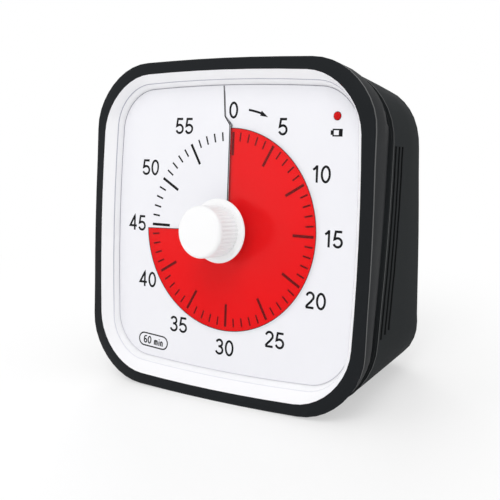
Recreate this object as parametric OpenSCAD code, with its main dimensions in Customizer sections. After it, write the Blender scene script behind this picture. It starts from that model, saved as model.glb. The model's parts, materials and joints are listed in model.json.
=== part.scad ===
// Visual countdown timer: a leaning, rounded-square desk timer whose red film disc
// passes through a slit in the dial card, so that red shows only the minutes left.
// Millimetres, +Z up. The face leans back, and the flat underside rests on z = 0.
// Pieces are drawn in the face's own frame (x right, y depth, z up along the face,
// with the front frame's lower front edge at y = frame_edge_y, z = 0) and stood up by on_base().

/* [Front frame] */
// Width of the front frame
frame_w = 98; // [96:1:108]
// Height of the front frame, along its face
frame_h = 100; // [99:1:108]
// Corner radius of the front frame
corner_r = 19.5; // [17:0.5:22]
// How far each side bulges between its corners
side_bow = 1.7; // [1:0.1:2.2]
// Width of the black border round the white bezel
border_w = 3.4; // [3.2:0.1:3.8]
// How far the border slopes back from its inner edge to its outer edge
frame_edge_y = 0.9; // [0.6:0.1:1.2]
// Depth of the waist groove behind the frame's band, at mid height
waist_y = 10; // [9.5:0.1:11]
// How far the groove's bottom lies inside the frame's outline
waist_inset = 3; // [2.8:0.1:3.2]
// Slope of the groove's plane: it lies further back towards the top
waist_slope = 0.075; // [0.05:0.005:0.09]

/* [Rear body] */
// Depth of the body, from the face to the middle of the back
body_depth = 48.5; // [47.5:0.5:56]
// Angle by which the face leans back from upright
lean = 10; // [9:0.5:11]
// Angle between the back and the face
back_rake = 7; // [5:0.5:8]
// Gap between the front band and the rear body's rim
waist_gap = 1; // [0.6:0.1:1.4]
// How far the rim lies inside the frame's outline
rim_inset = 1.3; // [1:0.1:1.5]
// Taper of each side, per millimetre of depth
side_taper = 0.15; // [0.12:0.01:0.17]
// Taper of the top, per millimetre of depth
top_taper = 0.13; // [0.1:0.01:0.15]
// Rounding of the back's edge
back_edge_r = 4.5; // [3:0.5:5]
// Wall of the rear body
shell_wall = 2; // [1.8:0.1:2.3]

/* [Vent slots] */
// Number of slots in each side
vent_count = 3; // [2:1:4]
// Distance from the rim to the middle of the first slot
vent_start = 2.9; // [2.7:0.1:3.4]
// Distance between slots
vent_pitch = 2.7; // [2.4:0.1:3]
// Width of a slot
vent_w = 1; // [0.8:0.1:1.2]
// Height of the first slot
vent_len = 53.4; // [40:0.2:56]
// Height of the first slot's lower end above the rim's foot
vent_foot = 21.8; // [18:0.2:26]

/* [Bezel and dial] */
// How far the dial's centre lies above the middle of the frame
dial_lift = 0.4; // [-0.5:0.1:0.6]
// Distance from the frame's side to the dial card
dial_side = 6.4; // [6:0.1:7]
// Distance from the frame's top and foot to the dial card
dial_end = 7.6; // [7:0.1:8]
// Corner radius of the dial card
dial_r = 11.5; // [10:0.5:13]
// Depth of the dial's surface below the frame
dial_y = 5.5; // [5:0.1:5.8]
// Thickness of the dial card
card_t = 0.2; // [0.15:0.01:0.25]
// How far the bezel's lip lies outside the card at the sides
lip_side = 0.7; // [0.5:0.1:0.9]
// How far the bezel's lip lies outside the card at the top and foot
lip_end = 1.5; // [1.1:0.1:1.7]
// Depth of the bezel's lip, where its slope steepens
lip_y = 3.2; // [2.8:0.1:3.6]
// Width and depth of the fine step along the lip
lip_step = 0.3; // [0.2:0.05:0.4]

/* [Time disc] */
// Radius of the red film disc
disc_r = 30; // [28:0.5:31]
// Thickness of the film
film_t = 0.12; // [0.1:0.01:0.15]
// Rise of the dial and the disc over one full turn
turn_rise = 0.8; // [0.75:0.01:0.9]
// Minutes shown at rest
minutes_shown = 44.7; // [40:0.1:50]

/* [Knob] */
// Radius of the ribbed grip
grip_r = 7.5; // [7:0.1:8]
// Radius of the flange at the grip's foot
flange_r = 9.4; // [9:0.1:9.8]
// How far the knob stands out of the frame
knob_out = 9.2; // [8.5:0.1:10.5]
// Number of ribs round the grip
rib_count = 40; // [30:2:48]
// Depth of a rib
rib_depth = 0.4; // [0.3:0.05:0.5]

/* [Movement] */
// Width and height of the movement's case
movement_w = 58; // [57:0.5:58.5]
// Gap between the movement and the battery compartment
movement_gap = 3.8; // [3.3:0.1:4.3]
// Radius of the spindle
spindle_r = 2; // [1.8:0.1:2.1]
// Radius of the threaded bush
bush_r = 4; // [3.8:0.1:4.1]
// Size of the centre wheel's teeth, as a gear module
tooth_module = 0.6; // [0.58:0.01:0.6]
// Teeth on the centre wheel
centre_teeth = 60; // [56:2:60]
// Leaves on the pinion that drives it
pinion_leaves = 8; // [8:1:8]

/* [Battery compartment] */
// Radius of a cell
cell_r = 7.1; // [6.9:0.05:7.2]
// Length of a cell
cell_len = 50.5; // [50:0.1:50.6]
// Width of the battery door
door_w = 57; // [56:0.5:58]
// Height of the battery door
door_h = 35; // [34:0.5:36]
// Thickness of the battery door
door_t = 1.8; // [1.5:0.1:2]
// Distance of the door's middle below the back's middle
door_drop = 11; // [10:0.5:12]

/* [Screws, light and switch] */
// Distance of the case screws from the middle, sideways
screw_x = 34; // [33.8:0.1:34.5]
// Distance of the case screws from the middle, up and down
screw_z = 24; // [22:0.5:25]
// Radius of the light's nose
led_r = 1.1; // [1:0.05:1.2]
// Travel of the volume slider to either side
slider_travel = 2.5; // [2:0.1:3]

/* [Hidden] */
$fn = 64;

// Colours
shell_black = "#2b2d2e";
bezel_white = "#f4f4f6";
knob_white = "#f7f7f7";
card_white = "#ececf1";
film_red = "#e5202c";
steel = "#b8bcc2";
brass = "#c9a24a";
copper = "#b5652b";
board_green = "#1f6b3a";
movement_grey = "#8c9096";
cell_blue = "#3f5f8a";

// Fits
run_gap = 0.05;         // running clearance on a radius
seat_gap = 0.05;        // clearance round a seated piece
loose_gap = 0.2;        // clearance round a cover, a cell or a slider

// Outlines: steps round each corner and points along each side
arc_steps = 10;
side_points = 5;
disc_step = 6;          // degrees between the disc's columns of points

// Front frame and rear body
mid_z = frame_h / 2;
dial_z = mid_z + dial_lift;
dial_w = frame_w - 2 * dial_side;
dial_h = frame_h - 2 * dial_end;
rear_len = body_depth - waist_y - waist_gap;
spigot_engage = 1.8;
ledge_y = 4.2;          // where the bezel's flange lies on the frame
body_inset = 4.6;       // the bezel's body inside the frame's outline
corner_spread = 1.5;    // how much rounder the rim's corners are than the frame's
corner_draw = 4;        // how much sharper the back's corners are than the rim's

// Bezel
lip_w = dial_w + 2 * lip_side;
lip_h = dial_h + 2 * lip_end;
card_back_y = dial_y + card_t;
ledge_w = 2;            // the ledge that carries the dial card
floor_y = 7.4;          // front of the bezel's floor
floor_t = 2;
floor_back_y = floor_y + floor_t;
well_y = 9;             // front of the floor where the nut sits
well_r = 8;
boss_r = well_r + 1.5;
boss_y = 11;            // back of the boss, where the movement seats

// Dial card and disc
hub_r = 3.2;
card_hole_r = hub_r + 2;
flat_r = disc_r + 3.4;  // the card is flat outside this radius
turn_r = disc_r + 0.8;  // and rises with the turn inside this one
slit_gap = 0.12;        // half width of the slit
slit_x = -0.5;          // the slit inside the disc's edge
slit_bend_x = -2.6;     // and where the card becomes flat
slit_top_x = -3.5;      // and at the card's upper edge
minutes_per_turn = 60;
rest_angle = 360 * minutes_shown / minutes_per_turn;

// Knob
grip_y = -0.4;          // depth of the grip's foot
flange_y = 0.1;         // depth of the flange's widest edge
knob_boss_r = 5.4;
knob_back_y = 3.9;
cap_edge_r = 1;
cap_band = 0.4;         // smooth band behind the cap's edge
knob_bore = 9.9;

// Battery compartment
cell_gap = loose_gap;
contact_t = 0.5;
spring_len = 3.1;
pocket_w = cell_len + spring_len + 2 * contact_t;
pocket_h = 4 * cell_r + 4 * cell_gap;
pocket_d = door_t + 2 * cell_r + 2 * cell_gap;
pocket_wall = 1.3;
door_frame = 2;         // the rim that the door lies in
door_drop_z = -door_drop;
pocket_top = door_drop_z + pocket_h / 2 + pocket_wall;
pocket_y = body_depth - (pocket_d + pocket_wall) * cos(back_rake) - pocket_top * sin(back_rake);
hinge_r = 0.6;
hinge_len = 1.6;
latch_w = 12;
latch_len = 3;
latch_slit_w = 0.8;
latch_slit_len = 7;
grip_count = 5;
grip_pitch = 1.6;
grip_h = 0.4;
nub_r = 2.75;
nub_len = 1;
contact_w = 9;
spring_turns = 2;
spring_wire_r = 0.3;
spring_foot_r = 4.6;
spring_top_r = 2.6;

// Movement
case_wall = 1.5;
case_corner_r = 3;
cover_t = 1.5;
cover_y = pocket_y - movement_gap - cover_t;
movement_d = cover_y - boss_y;
inner_y = boss_y + case_wall;
pivot_depth = 1;
pivot_play = 0.1;
hub_back_y = 7;
bush_front_y = hub_back_y + 0.1;
bush_flange_r = bush_r + 2;
bush_flange_t = 1;
nut_front_y = bush_front_y + 0.2;
nut_across = 2 * bush_r + 2;
wheel_boss_r = 3;
wheel_boss_t = 0.9;
wheel_boss_y = inner_y + bush_flange_t + 0.1;
wheel_y = wheel_boss_y + wheel_boss_t;
wheel_t = 1.5;
washer_y = wheel_y + wheel_t;
washer_t = 0.9;
washer_r = 5;
collar_r = hub_r;
collar_t = 1;
third_teeth = 60;
third_module = 0.4;
third_y = washer_y + 2.5;
third_t = 1;
arbor_r = 0.8;
arbor_boss_r = 1.6;
mesh_angle = 135;       // direction of the pinion from the spindle, clockwise from the right
mesh_dist = tooth_module * (centre_teeth + pinion_leaves) / 2;
tip_rise = 0.75;        // gear teeth, in modules: tip above the pitch circle, root below it
root_fall = 1.25;

// Stepping motor
motor_edge = 4.5;       // middle of the core in from the case's wall
core_x = 28;
core_z = movement_w / 2 - case_wall - motor_edge;
core_w = 3;
core_t = 2;
core_y = (inner_y + cover_y - core_t) / 2;
leg_x = 12.5;
leg_len = 8;
coil_len = 16;
coil_w = 6;
coil_d = 6;
peg_r = 0.75;
peg_boss_r = 2;

// Screws and their tubes
post_r = 4;
post_y = 14;
tube_r = 4.2;
screw_r = 1.3;
screw_hole_r = 1.5;
screw_head_r = 2.6;
screw_head_t = 1.8;
screw_seat_y = 18;
screw_tip_y = floor_back_y + 0.9;

// Circuit board, light and buzzer
board_y = boss_y;
board_t = 1.6;
board_w = 51;
board_end = 3.2;        // board below the card's upper edge
board_top = dial_h / 2 - board_end;
board_foot = movement_w / 2 + loose_gap;
board_h = board_top - board_foot;
board_rise = (board_top + board_foot) / 2;
board_edge = 4.4;       // board beyond the light, sideways
pin_edge = 2.4;         // left pin in from the board's end
led_pin = 6.2;          // right pin before the light
pin_r = 0.75;
pin_boss_r = 1.9;
led_side = 7.9;         // light in from the card's edge
led_x = dial_w / 2 - led_side;
led_drop = 0.8;         // light below the middle of the board
led_rise = board_rise - led_drop;
board_x = led_x + board_edge - board_w / 2;
led_out = 0.3;          // how far the light stands out of the card
led_body_r = 1.6;
led_body_t = 1.4;
buzzer_side = 13.6;     // buzzer from the middle of the board, sideways
buzzer_edge = 0.5;      // board beyond the buzzer, up and down
buzzer_r = board_h / 2 - buzzer_edge;
buzzer_t = 5.4;

// Volume switch
switch_rise = 28;       // above the back's middle
slider_w = 3.2;
slider_h = 3.4;
slider_out = 1.2;
switch_w = 15;
switch_h = 7;
switch_d = 5;
channel_d = 2;

function lerp(a, b, t) = a + (b - a) * t;

// Points of a rounded rectangle whose sides bulge by bow, and its foot by foot_bow
function outline(w, top, bottom, r, bow, foot_bow) =
    let (hw = w / 2, hh = (top - bottom) / 2, mid = (top + bottom) / 2)
    let (centre = function(q) [(q % 3 == 0 ? 1 : -1) * (hw - r), (q < 2 ? 1 : -1) * (hh - r)])
    let (arc = function(q, k) centre(q) + r * [cos(90 * (q + k / arc_steps)), sin(90 * (q + k / arc_steps))])
    let (bowed = function(p) [p.x * (1 - bow / hw * pow(p.y / hh, 2)),
        mid + p.y * (1 - (p.y > 0 ? bow : foot_bow) / hh * pow(p.x / hw, 2))])
    [for (q = [0:3]) each concat(
        [for (k = [0:arc_steps]) bowed(arc(q, k))],
        [for (k = [1:side_points]) bowed(lerp(arc(q, arc_steps), arc((q + 1) % 4, 0), k / (side_points + 1)))])];

// The frame's outline moved in by an inset
function frame_outline(inset) =
    outline(frame_w - 2 * inset, frame_h - inset, inset, corner_r - 0.75 * inset, side_bow, side_bow);

// An outline about the dial's centre
function dial_outline(w, h, r) = outline(w, dial_z + h / 2, dial_z - h / 2, r, side_bow, side_bow);

// Rings of points in space: at one depth, or at a depth that a function of z gives
function flat_ring(pts, y) = [for (p = pts) [p.x, y, p.y]];
function sloped_ring(pts, depth) = [for (p = pts) [p.x, depth(p.y), p.y]];

function waist_plane(z) = waist_y + waist_slope * (z - mid_z);
function rim_plane(z) = waist_plane(z) + waist_gap;
function spigot_plane(z) = rim_plane(z) + spigot_engage;
function back_plane(z) = body_depth - tan(back_rake) * (z - mid_z);
function rear_plane(s, z) = lerp(rim_plane(z), back_plane(z), s);

// Height at which the rear body's section s meets the plane that it stands on
function foot_z(s) =
    let (slope = tan(lean), along = lerp(waist_slope, -tan(back_rake), s))
    slope * (rear_plane(s, mid_z) - mid_z * along - frame_edge_y) / (1 - slope * along);

// Section of the rear body, from its rim (s = 0) to its back (s = 1), moved in by an inset
function rear_outline(s, inset, foot_bow = 0) =
    outline(frame_w - 2 * (rim_inset + side_taper * rear_len * s + inset),
        frame_h - rim_inset - top_taper * rear_len * s - inset,
        foot_z(s) + inset, corner_r + corner_spread - corner_draw * s - inset,
        side_bow * (1 - s / 2), foot_bow);
function rear_ring(s, inset) = sloped_ring(rear_outline(s, inset), function(z) rear_plane(s, z));

// Two triangles on the corners a, b, c, d
function quad(a, b, c, d) = [[a, b, c], [a, c, d]];

// Skin between rings of n points each
function skin_faces(count, n, closed) =
    [for (i = [0:count - (closed ? 1 : 2)], j = [0:n - 1])
        let (k = (i + 1) % count * n, next = (j + 1) % n)
        each quad(i * n + j, i * n + next, k + next, k + j)];

// Solid through flat rings, capped at both ends
module loft(rings) {
    n = len(rings[0]);
    last = (len(rings) - 1) * n;
    polyhedron([for (r = rings) each r], concat(
        [[for (j = [n - 1:-1:0]) j]], [[for (j = [0:n - 1]) last + j]], skin_faces(len(rings), n, false)));
}

// Solid through rings that close on themselves, such as a frame
module loft_loop(rings) {
    polyhedron([for (r = rings) each r], skin_faces(len(rings), len(rings[0]), true));
}

// Thin sheet between two grids of points: columns run clockwise, and points outwards
module sheet(front, back) {
    n = len(front);
    m = len(front[0]);
    f = function(i, j) i * m + j;
    b = function(i, j) n * m + i * m + j;
    polyhedron([for (grid = [front, back], column = grid) each column], concat(
        [for (i = [0:n - 2], j = [0:m - 2]) each quad(f(i, j), f(i, j + 1), f(i + 1, j + 1), f(i + 1, j))],
        [for (i = [0:n - 2], j = [0:m - 2]) each [[b(i, j), b(i + 1, j + 1), b(i, j + 1)],
            [b(i, j), b(i + 1, j), b(i + 1, j + 1)]]],
        [for (i = [0:n - 2]) each quad(f(i, 0), f(i + 1, 0), b(i + 1, 0), b(i, 0))],
        [for (i = [0:n - 2]) each quad(f(i + 1, m - 1), f(i, m - 1), b(i, m - 1), b(i + 1, m - 1))],
        [for (j = [0:m - 2]) each quad(f(0, j + 1), f(0, j), b(0, j), b(0, j + 1))],
        [for (j = [0:m - 2]) each quad(f(n - 1, j), f(n - 1, j + 1), b(n - 1, j + 1), b(n - 1, j))]));
}

// Lean the face back on its lower edge, with the middle of the flat underside at the origin
base_mid_y = (rear_plane(0, foot_z(0)) + rear_plane(1, foot_z(1))) / 2;
module on_base() {
    translate([0, -(base_mid_y - frame_edge_y) / cos(lean), 0]) rotate([-lean, 0, 0])
        translate([0, -frame_edge_y, 0]) children();
}

// Frame of the dial: z along the spindle, away from the viewer, and y down the face
module on_dial() {
    on_base() translate([0, 0, dial_z]) rotate([-90, 0, 0]) children();
}

// Frame of the back: y out of the back and z up along it, from a height above its middle
module on_back(rise) {
    on_base() translate([0, body_depth, mid_z]) rotate([back_rake, 0, 0]) translate([0, 0, rise]) children();
}

// Axes of the case screws; $back is the depth of the back there
module at_screws() {
    for (x = [-1, 1], z = [-1, 1]) {
        $back = back_plane(mid_z + z * screw_z);
        on_base() translate([x * screw_x, 0, mid_z + z * screw_z]) rotate([-90, 0, 0]) children();
    }
}

// Round bar along the current z axis, from y0 to y1
module bar(r, y0, y1) {
    translate([0, 0, y0]) cylinder(r = r, h = y1 - y0);
}

// Block about x and z, from depth y0 to y1
module block(w, h, y0, y1) {
    translate([-w / 2, y0, -h / 2]) cube([w, y1 - y0, h]);
}

// Flat rounded rectangle
module rounded(w, h, r) {
    square([w - 2 * r, h], center = true);
    square([w, h - 2 * r], center = true);
    for (x = [-1, 1], y = [-1, 1]) translate([x * (w / 2 - r), y * (h / 2 - r)]) circle(r = r);
}

// Flat gear: trapezoid teeth, as wide at root and tip as the given shares of the pitch
module gear(teeth, size, root_share, tip_share) {
    root = size * (teeth / 2 - root_fall);
    tip = size * (teeth / 2 + tip_rise);
    polygon([for (i = [0:teeth - 1], p = [[-root_share, root], [-tip_share, tip], [tip_share, tip], [root_share, root]])
        p[1] * [cos((i + p[0] / 2) * 360 / teeth), sin((i + p[0] / 2) * 360 / teeth)]]);
}

// Black front frame: sloped border, rounded band, waist groove and the spigot behind it
module front_shell() {
    // Share of the way from the edge to the waist, and inset there
    band = [[0.08, 0.25], [0.25, 0.5], [0.48, 0.85], [0.69, 1.45], [0.86, 2.3]];
    edge_inset = 0.3;
    color(shell_black) on_base() loft_loop(concat(
        [flat_ring(frame_outline(border_w), 0), flat_ring(frame_outline(edge_inset), 0.7 * frame_edge_y),
            flat_ring(frame_outline(0), frame_edge_y)],
        [for (b = band) sloped_ring(frame_outline(b[1]), function(z) lerp(frame_edge_y, waist_plane(z), b[0]))],
        [sloped_ring(frame_outline(waist_inset), function(z) waist_plane(z)),
            sloped_ring(frame_outline(waist_inset), function(z) spigot_plane(z)),
            sloped_ring(frame_outline(body_inset), function(z) spigot_plane(z)),
            flat_ring(frame_outline(body_inset), ledge_y), flat_ring(frame_outline(border_w), ledge_y)]));
}

// Skin of the rear body: one cup-shaped wall, from its inner back over the rim to its outer back
module rear_skin() {
    mouth = frame_outline(waist_inset - seat_gap);
    inner_r = back_edge_r - shell_wall;
    inner_depth = function(e) function(z) back_plane(z) - (shell_wall + e) / cos(back_rake);
    inner_s = function(e) 1 - (shell_wall + e) / rear_len;
    loft(concat(
        [for (a = [90:-30:0])
            let (e = inner_r * (1 - sin(a)), inset = shell_wall + inner_r * (1 - cos(a)))
            sloped_ring(rear_outline(inner_s(e), inset), inner_depth(e))],
        [rear_ring(0.5, shell_wall),
            sloped_ring(rear_outline(0.06, shell_wall, side_bow), function(z) spigot_plane(z)),
            sloped_ring(mouth, function(z) spigot_plane(z)), sloped_ring(mouth, function(z) rim_plane(z)),
            rear_ring(0, 0), rear_ring(0.5, 0)],
        [for (a = [0:18:90]) rear_ring(1 - back_edge_r * (1 - sin(a)) / rear_len, back_edge_r * (1 - cos(a)))]));
}

// Black rear body: tapered shell, side vents, battery pocket and screw tubes
module rear_shell() {
    recess = door_t + seat_gap;
    vent_z = foot_z(0) + vent_foot;
    vent_step = 0.9;
    vent_reach = 8;
    color(shell_black) difference() {
        union() {
            on_base() rear_skin();
            on_back(door_drop_z) {
                block(pocket_w + 2 * pocket_wall, pocket_h + 2 * pocket_wall, -pocket_d - pocket_wall, -shell_wall / 2);
                block(door_w + 2 * door_frame, door_h + 2 * door_frame, -recess - door_frame, -shell_wall / 2);
            }
            at_screws() bar(tube_r, post_y, $back - shell_wall / 2);
        }
        on_back(door_drop_z) {
            block(pocket_w, pocket_h, -pocket_d, shell_wall);
            block(door_w + 2 * loose_gap, door_h + 2 * loose_gap, -recess, shell_wall);
            translate([0, 0, (door_h + latch_len) / 2])
                block(latch_w + 2 * loose_gap, latch_len + 2 * loose_gap, -recess, shell_wall);
            translate([0, -door_t / 2, (door_t - door_h) / 2]) rotate([0, 90, 0])
                cylinder(r = hinge_r + run_gap, h = door_w + 2 * (hinge_len + loose_gap), center = true);
        }
        at_screws() {
            bar(screw_head_r + loose_gap, screw_seat_y, $back + shell_wall);
            bar(screw_hole_r, post_y - 1, $back);
        }
        on_base() for (side = [-1, 1], i = [0:vent_count - 1])
            translate([side * frame_w / 2, rim_plane(mid_z) + vent_start + i * vent_pitch, mid_z])
                rotate([-atan(waist_slope), 0, 0])
                    translate([-vent_reach, -vent_w / 2, vent_z + vent_step * i - mid_z])
                        cube([2 * vent_reach, vent_w, vent_len - vent_step * i]);
        on_back(switch_rise)
            block(slider_w + 2 * slider_travel + 2 * loose_gap, slider_h + 2 * loose_gap, -2 * shell_wall, shell_wall);
    }
}

// White bezel: sloped sides, the ledge for the card, and the floor that carries the movement
module bezel() {
    flange = frame_outline(border_w + seat_gap);
    body = frame_outline(body_inset + seat_gap);
    card = dial_outline(dial_w + 2 * seat_gap, dial_h + 2 * seat_gap, dial_r);
    well = dial_outline(dial_w - 2 * ledge_w, dial_h - 2 * ledge_w, dial_r - ledge_w);
    lip = dial_outline(lip_w, lip_h, dial_r + (lip_w - dial_w) / 2);
    ledge = dial_outline(lip_w - 2 * lip_step, lip_h - 2 * lip_step, dial_r + (lip_w - dial_w) / 2 - lip_step);
    flange_edge = 0.15;
    color(bezel_white) difference() {
        union() {
            on_base() loft([flat_ring(well, floor_y), flat_ring(well, card_back_y), flat_ring(card, card_back_y),
                flat_ring(card, dial_y), flat_ring(ledge, lip_y + lip_step), flat_ring(lip, lip_y + lip_step),
                flat_ring(lip, lip_y), flat_ring(flange, flange_edge),
                flat_ring(flange, ledge_y), flat_ring(body, ledge_y), flat_ring(body, floor_back_y)]);
            on_dial() bar(boss_r, floor_y + 1, boss_y);
            at_screws() bar(post_r, floor_y + 1, post_y);
            at_pins() {
                bar(pin_boss_r, floor_y + 1, board_y);
                bar(pin_r, floor_y + 1, board_y + 1.5 * board_t);
            }
        }
        on_dial() {
            bar(well_r, floor_y - 1, well_y);
            bar(bush_r + seat_gap, floor_y, boss_y + 1);
        }
        at_screws() bar(screw_r + seat_gap, screw_tip_y - 0.4, post_y + 1);
        at_led() bar(led_r + seat_gap, dial_y, boss_y);
    }
}

// Distance from the dial's centre to the card's edge, at an angle clockwise from the top
function card_reach(a) =
    let (u = [sin(a), cos(a)], edge = [for (p = dial_outline(dial_w, dial_h, dial_r)) p - [0, dial_z]])
    [for (i = [0:len(edge) - 1])
        let (p = edge[i], q = edge[(i + 1) % len(edge)], s = cross(u, p), t = cross(u, q))
        if (s <= 0 && t > 0 && u * (p + q) > 0) norm(lerp(p, q, s / (s - t)))][0];

// Point of the dial at an angle clockwise from the top, a radius and a rise above the dial
function dial_point(a, r, rise) = [r * sin(a), dial_y - rise, dial_z + r * cos(a)];

// White dial card: one turn of a shallow helix, cut by the slit that the disc passes through
module dial_card() {
    angles = [for (q = [0:3]) each [for (a = [0:6:30]) 90 * q + a, for (a = [36:3:54]) 90 * q + a,
        for (a = [60:6:84]) 90 * q + a]];
    radii = function(a) [card_hole_r, disc_r / 2, turn_r, flat_r, card_reach(a)];
    slit = [slit_x, slit_x, slit_x, slit_bend_x, slit_top_x];
    rise = function(a, j) (j < 3 ? 1 : 0) * turn_rise * (a / 360 - 0.5);
    lip = function(a, side, sink) [for (j = [0:4])
        [slit[j] + side * slit_gap, dial_y - rise(a, j) + sink, dial_z + radii(0)[j]]];
    grid = function(sink) concat([lip(0, 1, sink)],
        [for (i = [1:len(angles) - 1]) let (a = angles[i])
            [for (j = [0:4]) dial_point(a, radii(a)[j], rise(a, j) - sink)]],
        [lip(360, -1, sink)]);
    color(card_white) difference() {
        on_base() sheet(grid(0), grid(card_t));
        at_led() bar(led_r + seat_gap, dial_y - 1, card_back_y + 1);
    }
}

// Red film disc: one turn of the same helix, cut from rim to hub along its leading edge
module time_disc() {
    cut = 0.3;
    grid = function(rise) [for (i = [0:360 / disc_step])
        let (turn = cut + i / (360 / disc_step) * (360 - 2 * cut))
        [for (r = [(hub_r + seat_gap) / cos(disc_step / 2), disc_r / 2, disc_r])
            dial_point(rest_angle + turn, r, turn_rise * (turn / 360 - 0.5) + rise)]];
    color(film_red) on_base() sheet(grid(film_t), grid(0));
}

// White hub on the spindle that the disc is fixed to
module disc_hub() {
    color(card_white) on_dial() difference() {
        bar(hub_r, knob_back_y, hub_back_y);
        bar(spindle_r + seat_gap, knob_back_y - 1, hub_back_y + 1);
    }
}

// White knob: domed edge, ribbed grip, and a flange whose underside narrows to the hub
module knob() {
    front = -knob_out;
    rib_front = front + cap_edge_r + cap_band;
    root_r = grip_r - rib_depth;
    rib_r = grip_r - 0.03;
    rib_bite = 0.15;
    base_r = root_r - rib_bite;
    color(knob_white) on_dial() difference() {
        union() {
            rotate_extrude() polygon(concat([[0, front]],
                [for (a = [0:15:90]) [grip_r - cap_edge_r * (1 - sin(a)), front + cap_edge_r * (1 - cos(a))]],
                [[grip_r, rib_front], [root_r, rib_front], [root_r, grip_y], [flange_r - 0.4, grip_y],
                    [flange_r, flange_y], [flange_r - 0.2, flange_y + 0.5], [knob_boss_r, knob_back_y],
                    [0, knob_back_y]]));
            translate([0, 0, rib_front - rib_bite]) linear_extrude(grip_y - rib_front + 2 * rib_bite) polygon(
                [for (i = [0:rib_count - 1], p = [[-0.33, base_r], [-0.18, rib_r], [0.18, rib_r], [0.33, base_r]])
                    p[1] * [cos((i + p[0]) * 360 / rib_count), sin((i + p[0]) * 360 / rib_count)]]);
        }
        bar(spindle_r + seat_gap, knob_back_y - knob_bore, knob_back_y + 1);
    }
}

// Steel spindle with the collar that the clutch spring presses on
module spindle() {
    color(steel) on_dial() {
        bar(spindle_r, knob_back_y - knob_bore + 0.1, cover_y + pivot_depth - pivot_play);
        bar(collar_r, washer_y + washer_t, washer_y + washer_t + collar_t);
    }
}

// Brass bush that holds the movement to the bezel and carries the spindle
module bush() {
    color(brass) on_dial() difference() {
        union() {
            bar(bush_r, bush_front_y, inner_y + bush_flange_t);
            bar(bush_flange_r, inner_y, inner_y + bush_flange_t);
        }
        bar(spindle_r + run_gap, bush_front_y - 1, inner_y + bush_flange_t + 1);
    }
}

// Brass hexagon nut on the bush
module bush_nut() {
    color(brass) on_dial() difference() {
        translate([0, 0, nut_front_y]) cylinder(d = nut_across / cos(30), h = well_y - nut_front_y, $fn = 6);
        bar(bush_r + seat_gap, nut_front_y - 1, well_y + 1);
    }
}

// Axis of the third wheel
module at_third() {
    on_dial() translate(mesh_dist * [cos(mesh_angle), sin(mesh_angle), 0]) children();
}

// Grey movement case, open to the back
module movement_case() {
    color(movement_grey) difference() {
        on_dial() translate([0, 0, boss_y]) linear_extrude(movement_d) rounded(movement_w, movement_w, case_corner_r);
        on_dial() translate([0, 0, inner_y]) linear_extrude(movement_d)
            rounded(movement_w - 2 * case_wall, movement_w - 2 * case_wall, case_corner_r - case_wall);
        on_dial() bar(bush_r + seat_gap, boss_y - 1, inner_y + 1);
        at_third() bar(arbor_r + run_gap, inner_y - pivot_depth, inner_y + 1);
    }
}

// Places of the two pegs that carry the motor
module at_pegs() {
    for (x = [-leg_x, leg_x]) on_dial() translate([x, -core_z, 0]) children();
}

// Grey movement cover with the rear pivots and the pegs of the motor
module movement_cover() {
    color(movement_grey) difference() {
        union() {
            on_dial() translate([0, 0, cover_y]) linear_extrude(cover_t)
                rounded(movement_w, movement_w, case_corner_r);
            at_pegs() {
                bar(peg_boss_r, core_y + core_t, cover_y + cover_t / 2);
                bar(peg_r, core_y - 1, cover_y);
            }
        }
        on_dial() bar(spindle_r + run_gap, cover_y - 1, cover_y + pivot_depth);
        at_third() bar(arbor_r + run_gap, cover_y - 1, cover_y + pivot_depth);
    }
}

// Brass centre wheel, driven round with the spindle by the clutch
module centre_wheel() {
    color(brass) on_dial() difference() {
        union() {
            translate([0, 0, wheel_y]) rotate(mesh_angle + 180 / centre_teeth) linear_extrude(wheel_t)
                gear(centre_teeth, tooth_module, 0.6, 0.22);
            bar(wheel_boss_r, wheel_boss_y, wheel_y + wheel_t / 2);
        }
        bar(spindle_r + run_gap, wheel_boss_y - 1, washer_y + 1);
    }
}

// Steel clutch spring: a dished washer between the wheel and the collar
module clutch_spring() {
    sheet_t = 0.4;
    inner = spindle_r + run_gap;
    color(steel) on_dial() rotate_extrude() polygon([[inner, washer_y + washer_t - sheet_t],
        [washer_r, washer_y], [washer_r, washer_y + sheet_t], [inner, washer_y + washer_t]]);
}

// Third wheel: arbor, pinion and toothed wheel in one piece
module third_wheel() {
    color(brass) at_third() {
        bar(arbor_r, inner_y - pivot_depth + pivot_play, cover_y + pivot_depth - pivot_play);
        translate([0, 0, wheel_y - 0.5]) rotate(mesh_angle + 180) linear_extrude(wheel_t + 1)
            gear(pinion_leaves, tooth_module, 0.5, 0.18);
        bar(arbor_boss_r, wheel_y + wheel_t + 0.4, third_y + third_t / 2);
        translate([0, 0, third_y]) linear_extrude(third_t) gear(third_teeth, third_module, 0.6, 0.3);
    }
}

// Copper coil of the stepping motor, on a square bobbin
module motor_coil() {
    flange_t = 1;
    flange_w = coil_w + 1.4;
    color(copper) on_dial() translate([0, -core_z, core_y + core_t / 2]) rotate([0, 90, 0]) difference() {
        union() {
            cube([coil_d, coil_w, coil_len], center = true);
            for (x = [-1, 1]) translate([0, 0, x * (coil_len - flange_t) / 2])
                cube([coil_d + 0.6, flange_w, flange_t], center = true);
        }
        cube([core_t + 2 * seat_gap, core_w + 2 * seat_gap, coil_len + 1], center = true);
    }
}

// Steel stator: a core through the coil, with two legs towards the rotor
module motor_stator() {
    color(steel) difference() {
        on_dial() translate([0, 0, core_y]) linear_extrude(core_t) {
            translate([-core_x / 2, -core_z - core_w / 2]) square([core_x, core_w]);
            for (x = [-1, 1]) translate([x * leg_x - core_w / 2, -core_z - core_w / 2]) square([core_w, leg_len]);
        }
        at_pegs() bar(peg_r + seat_gap, core_y - 1, core_y + core_t + 1);
    }
}

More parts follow.
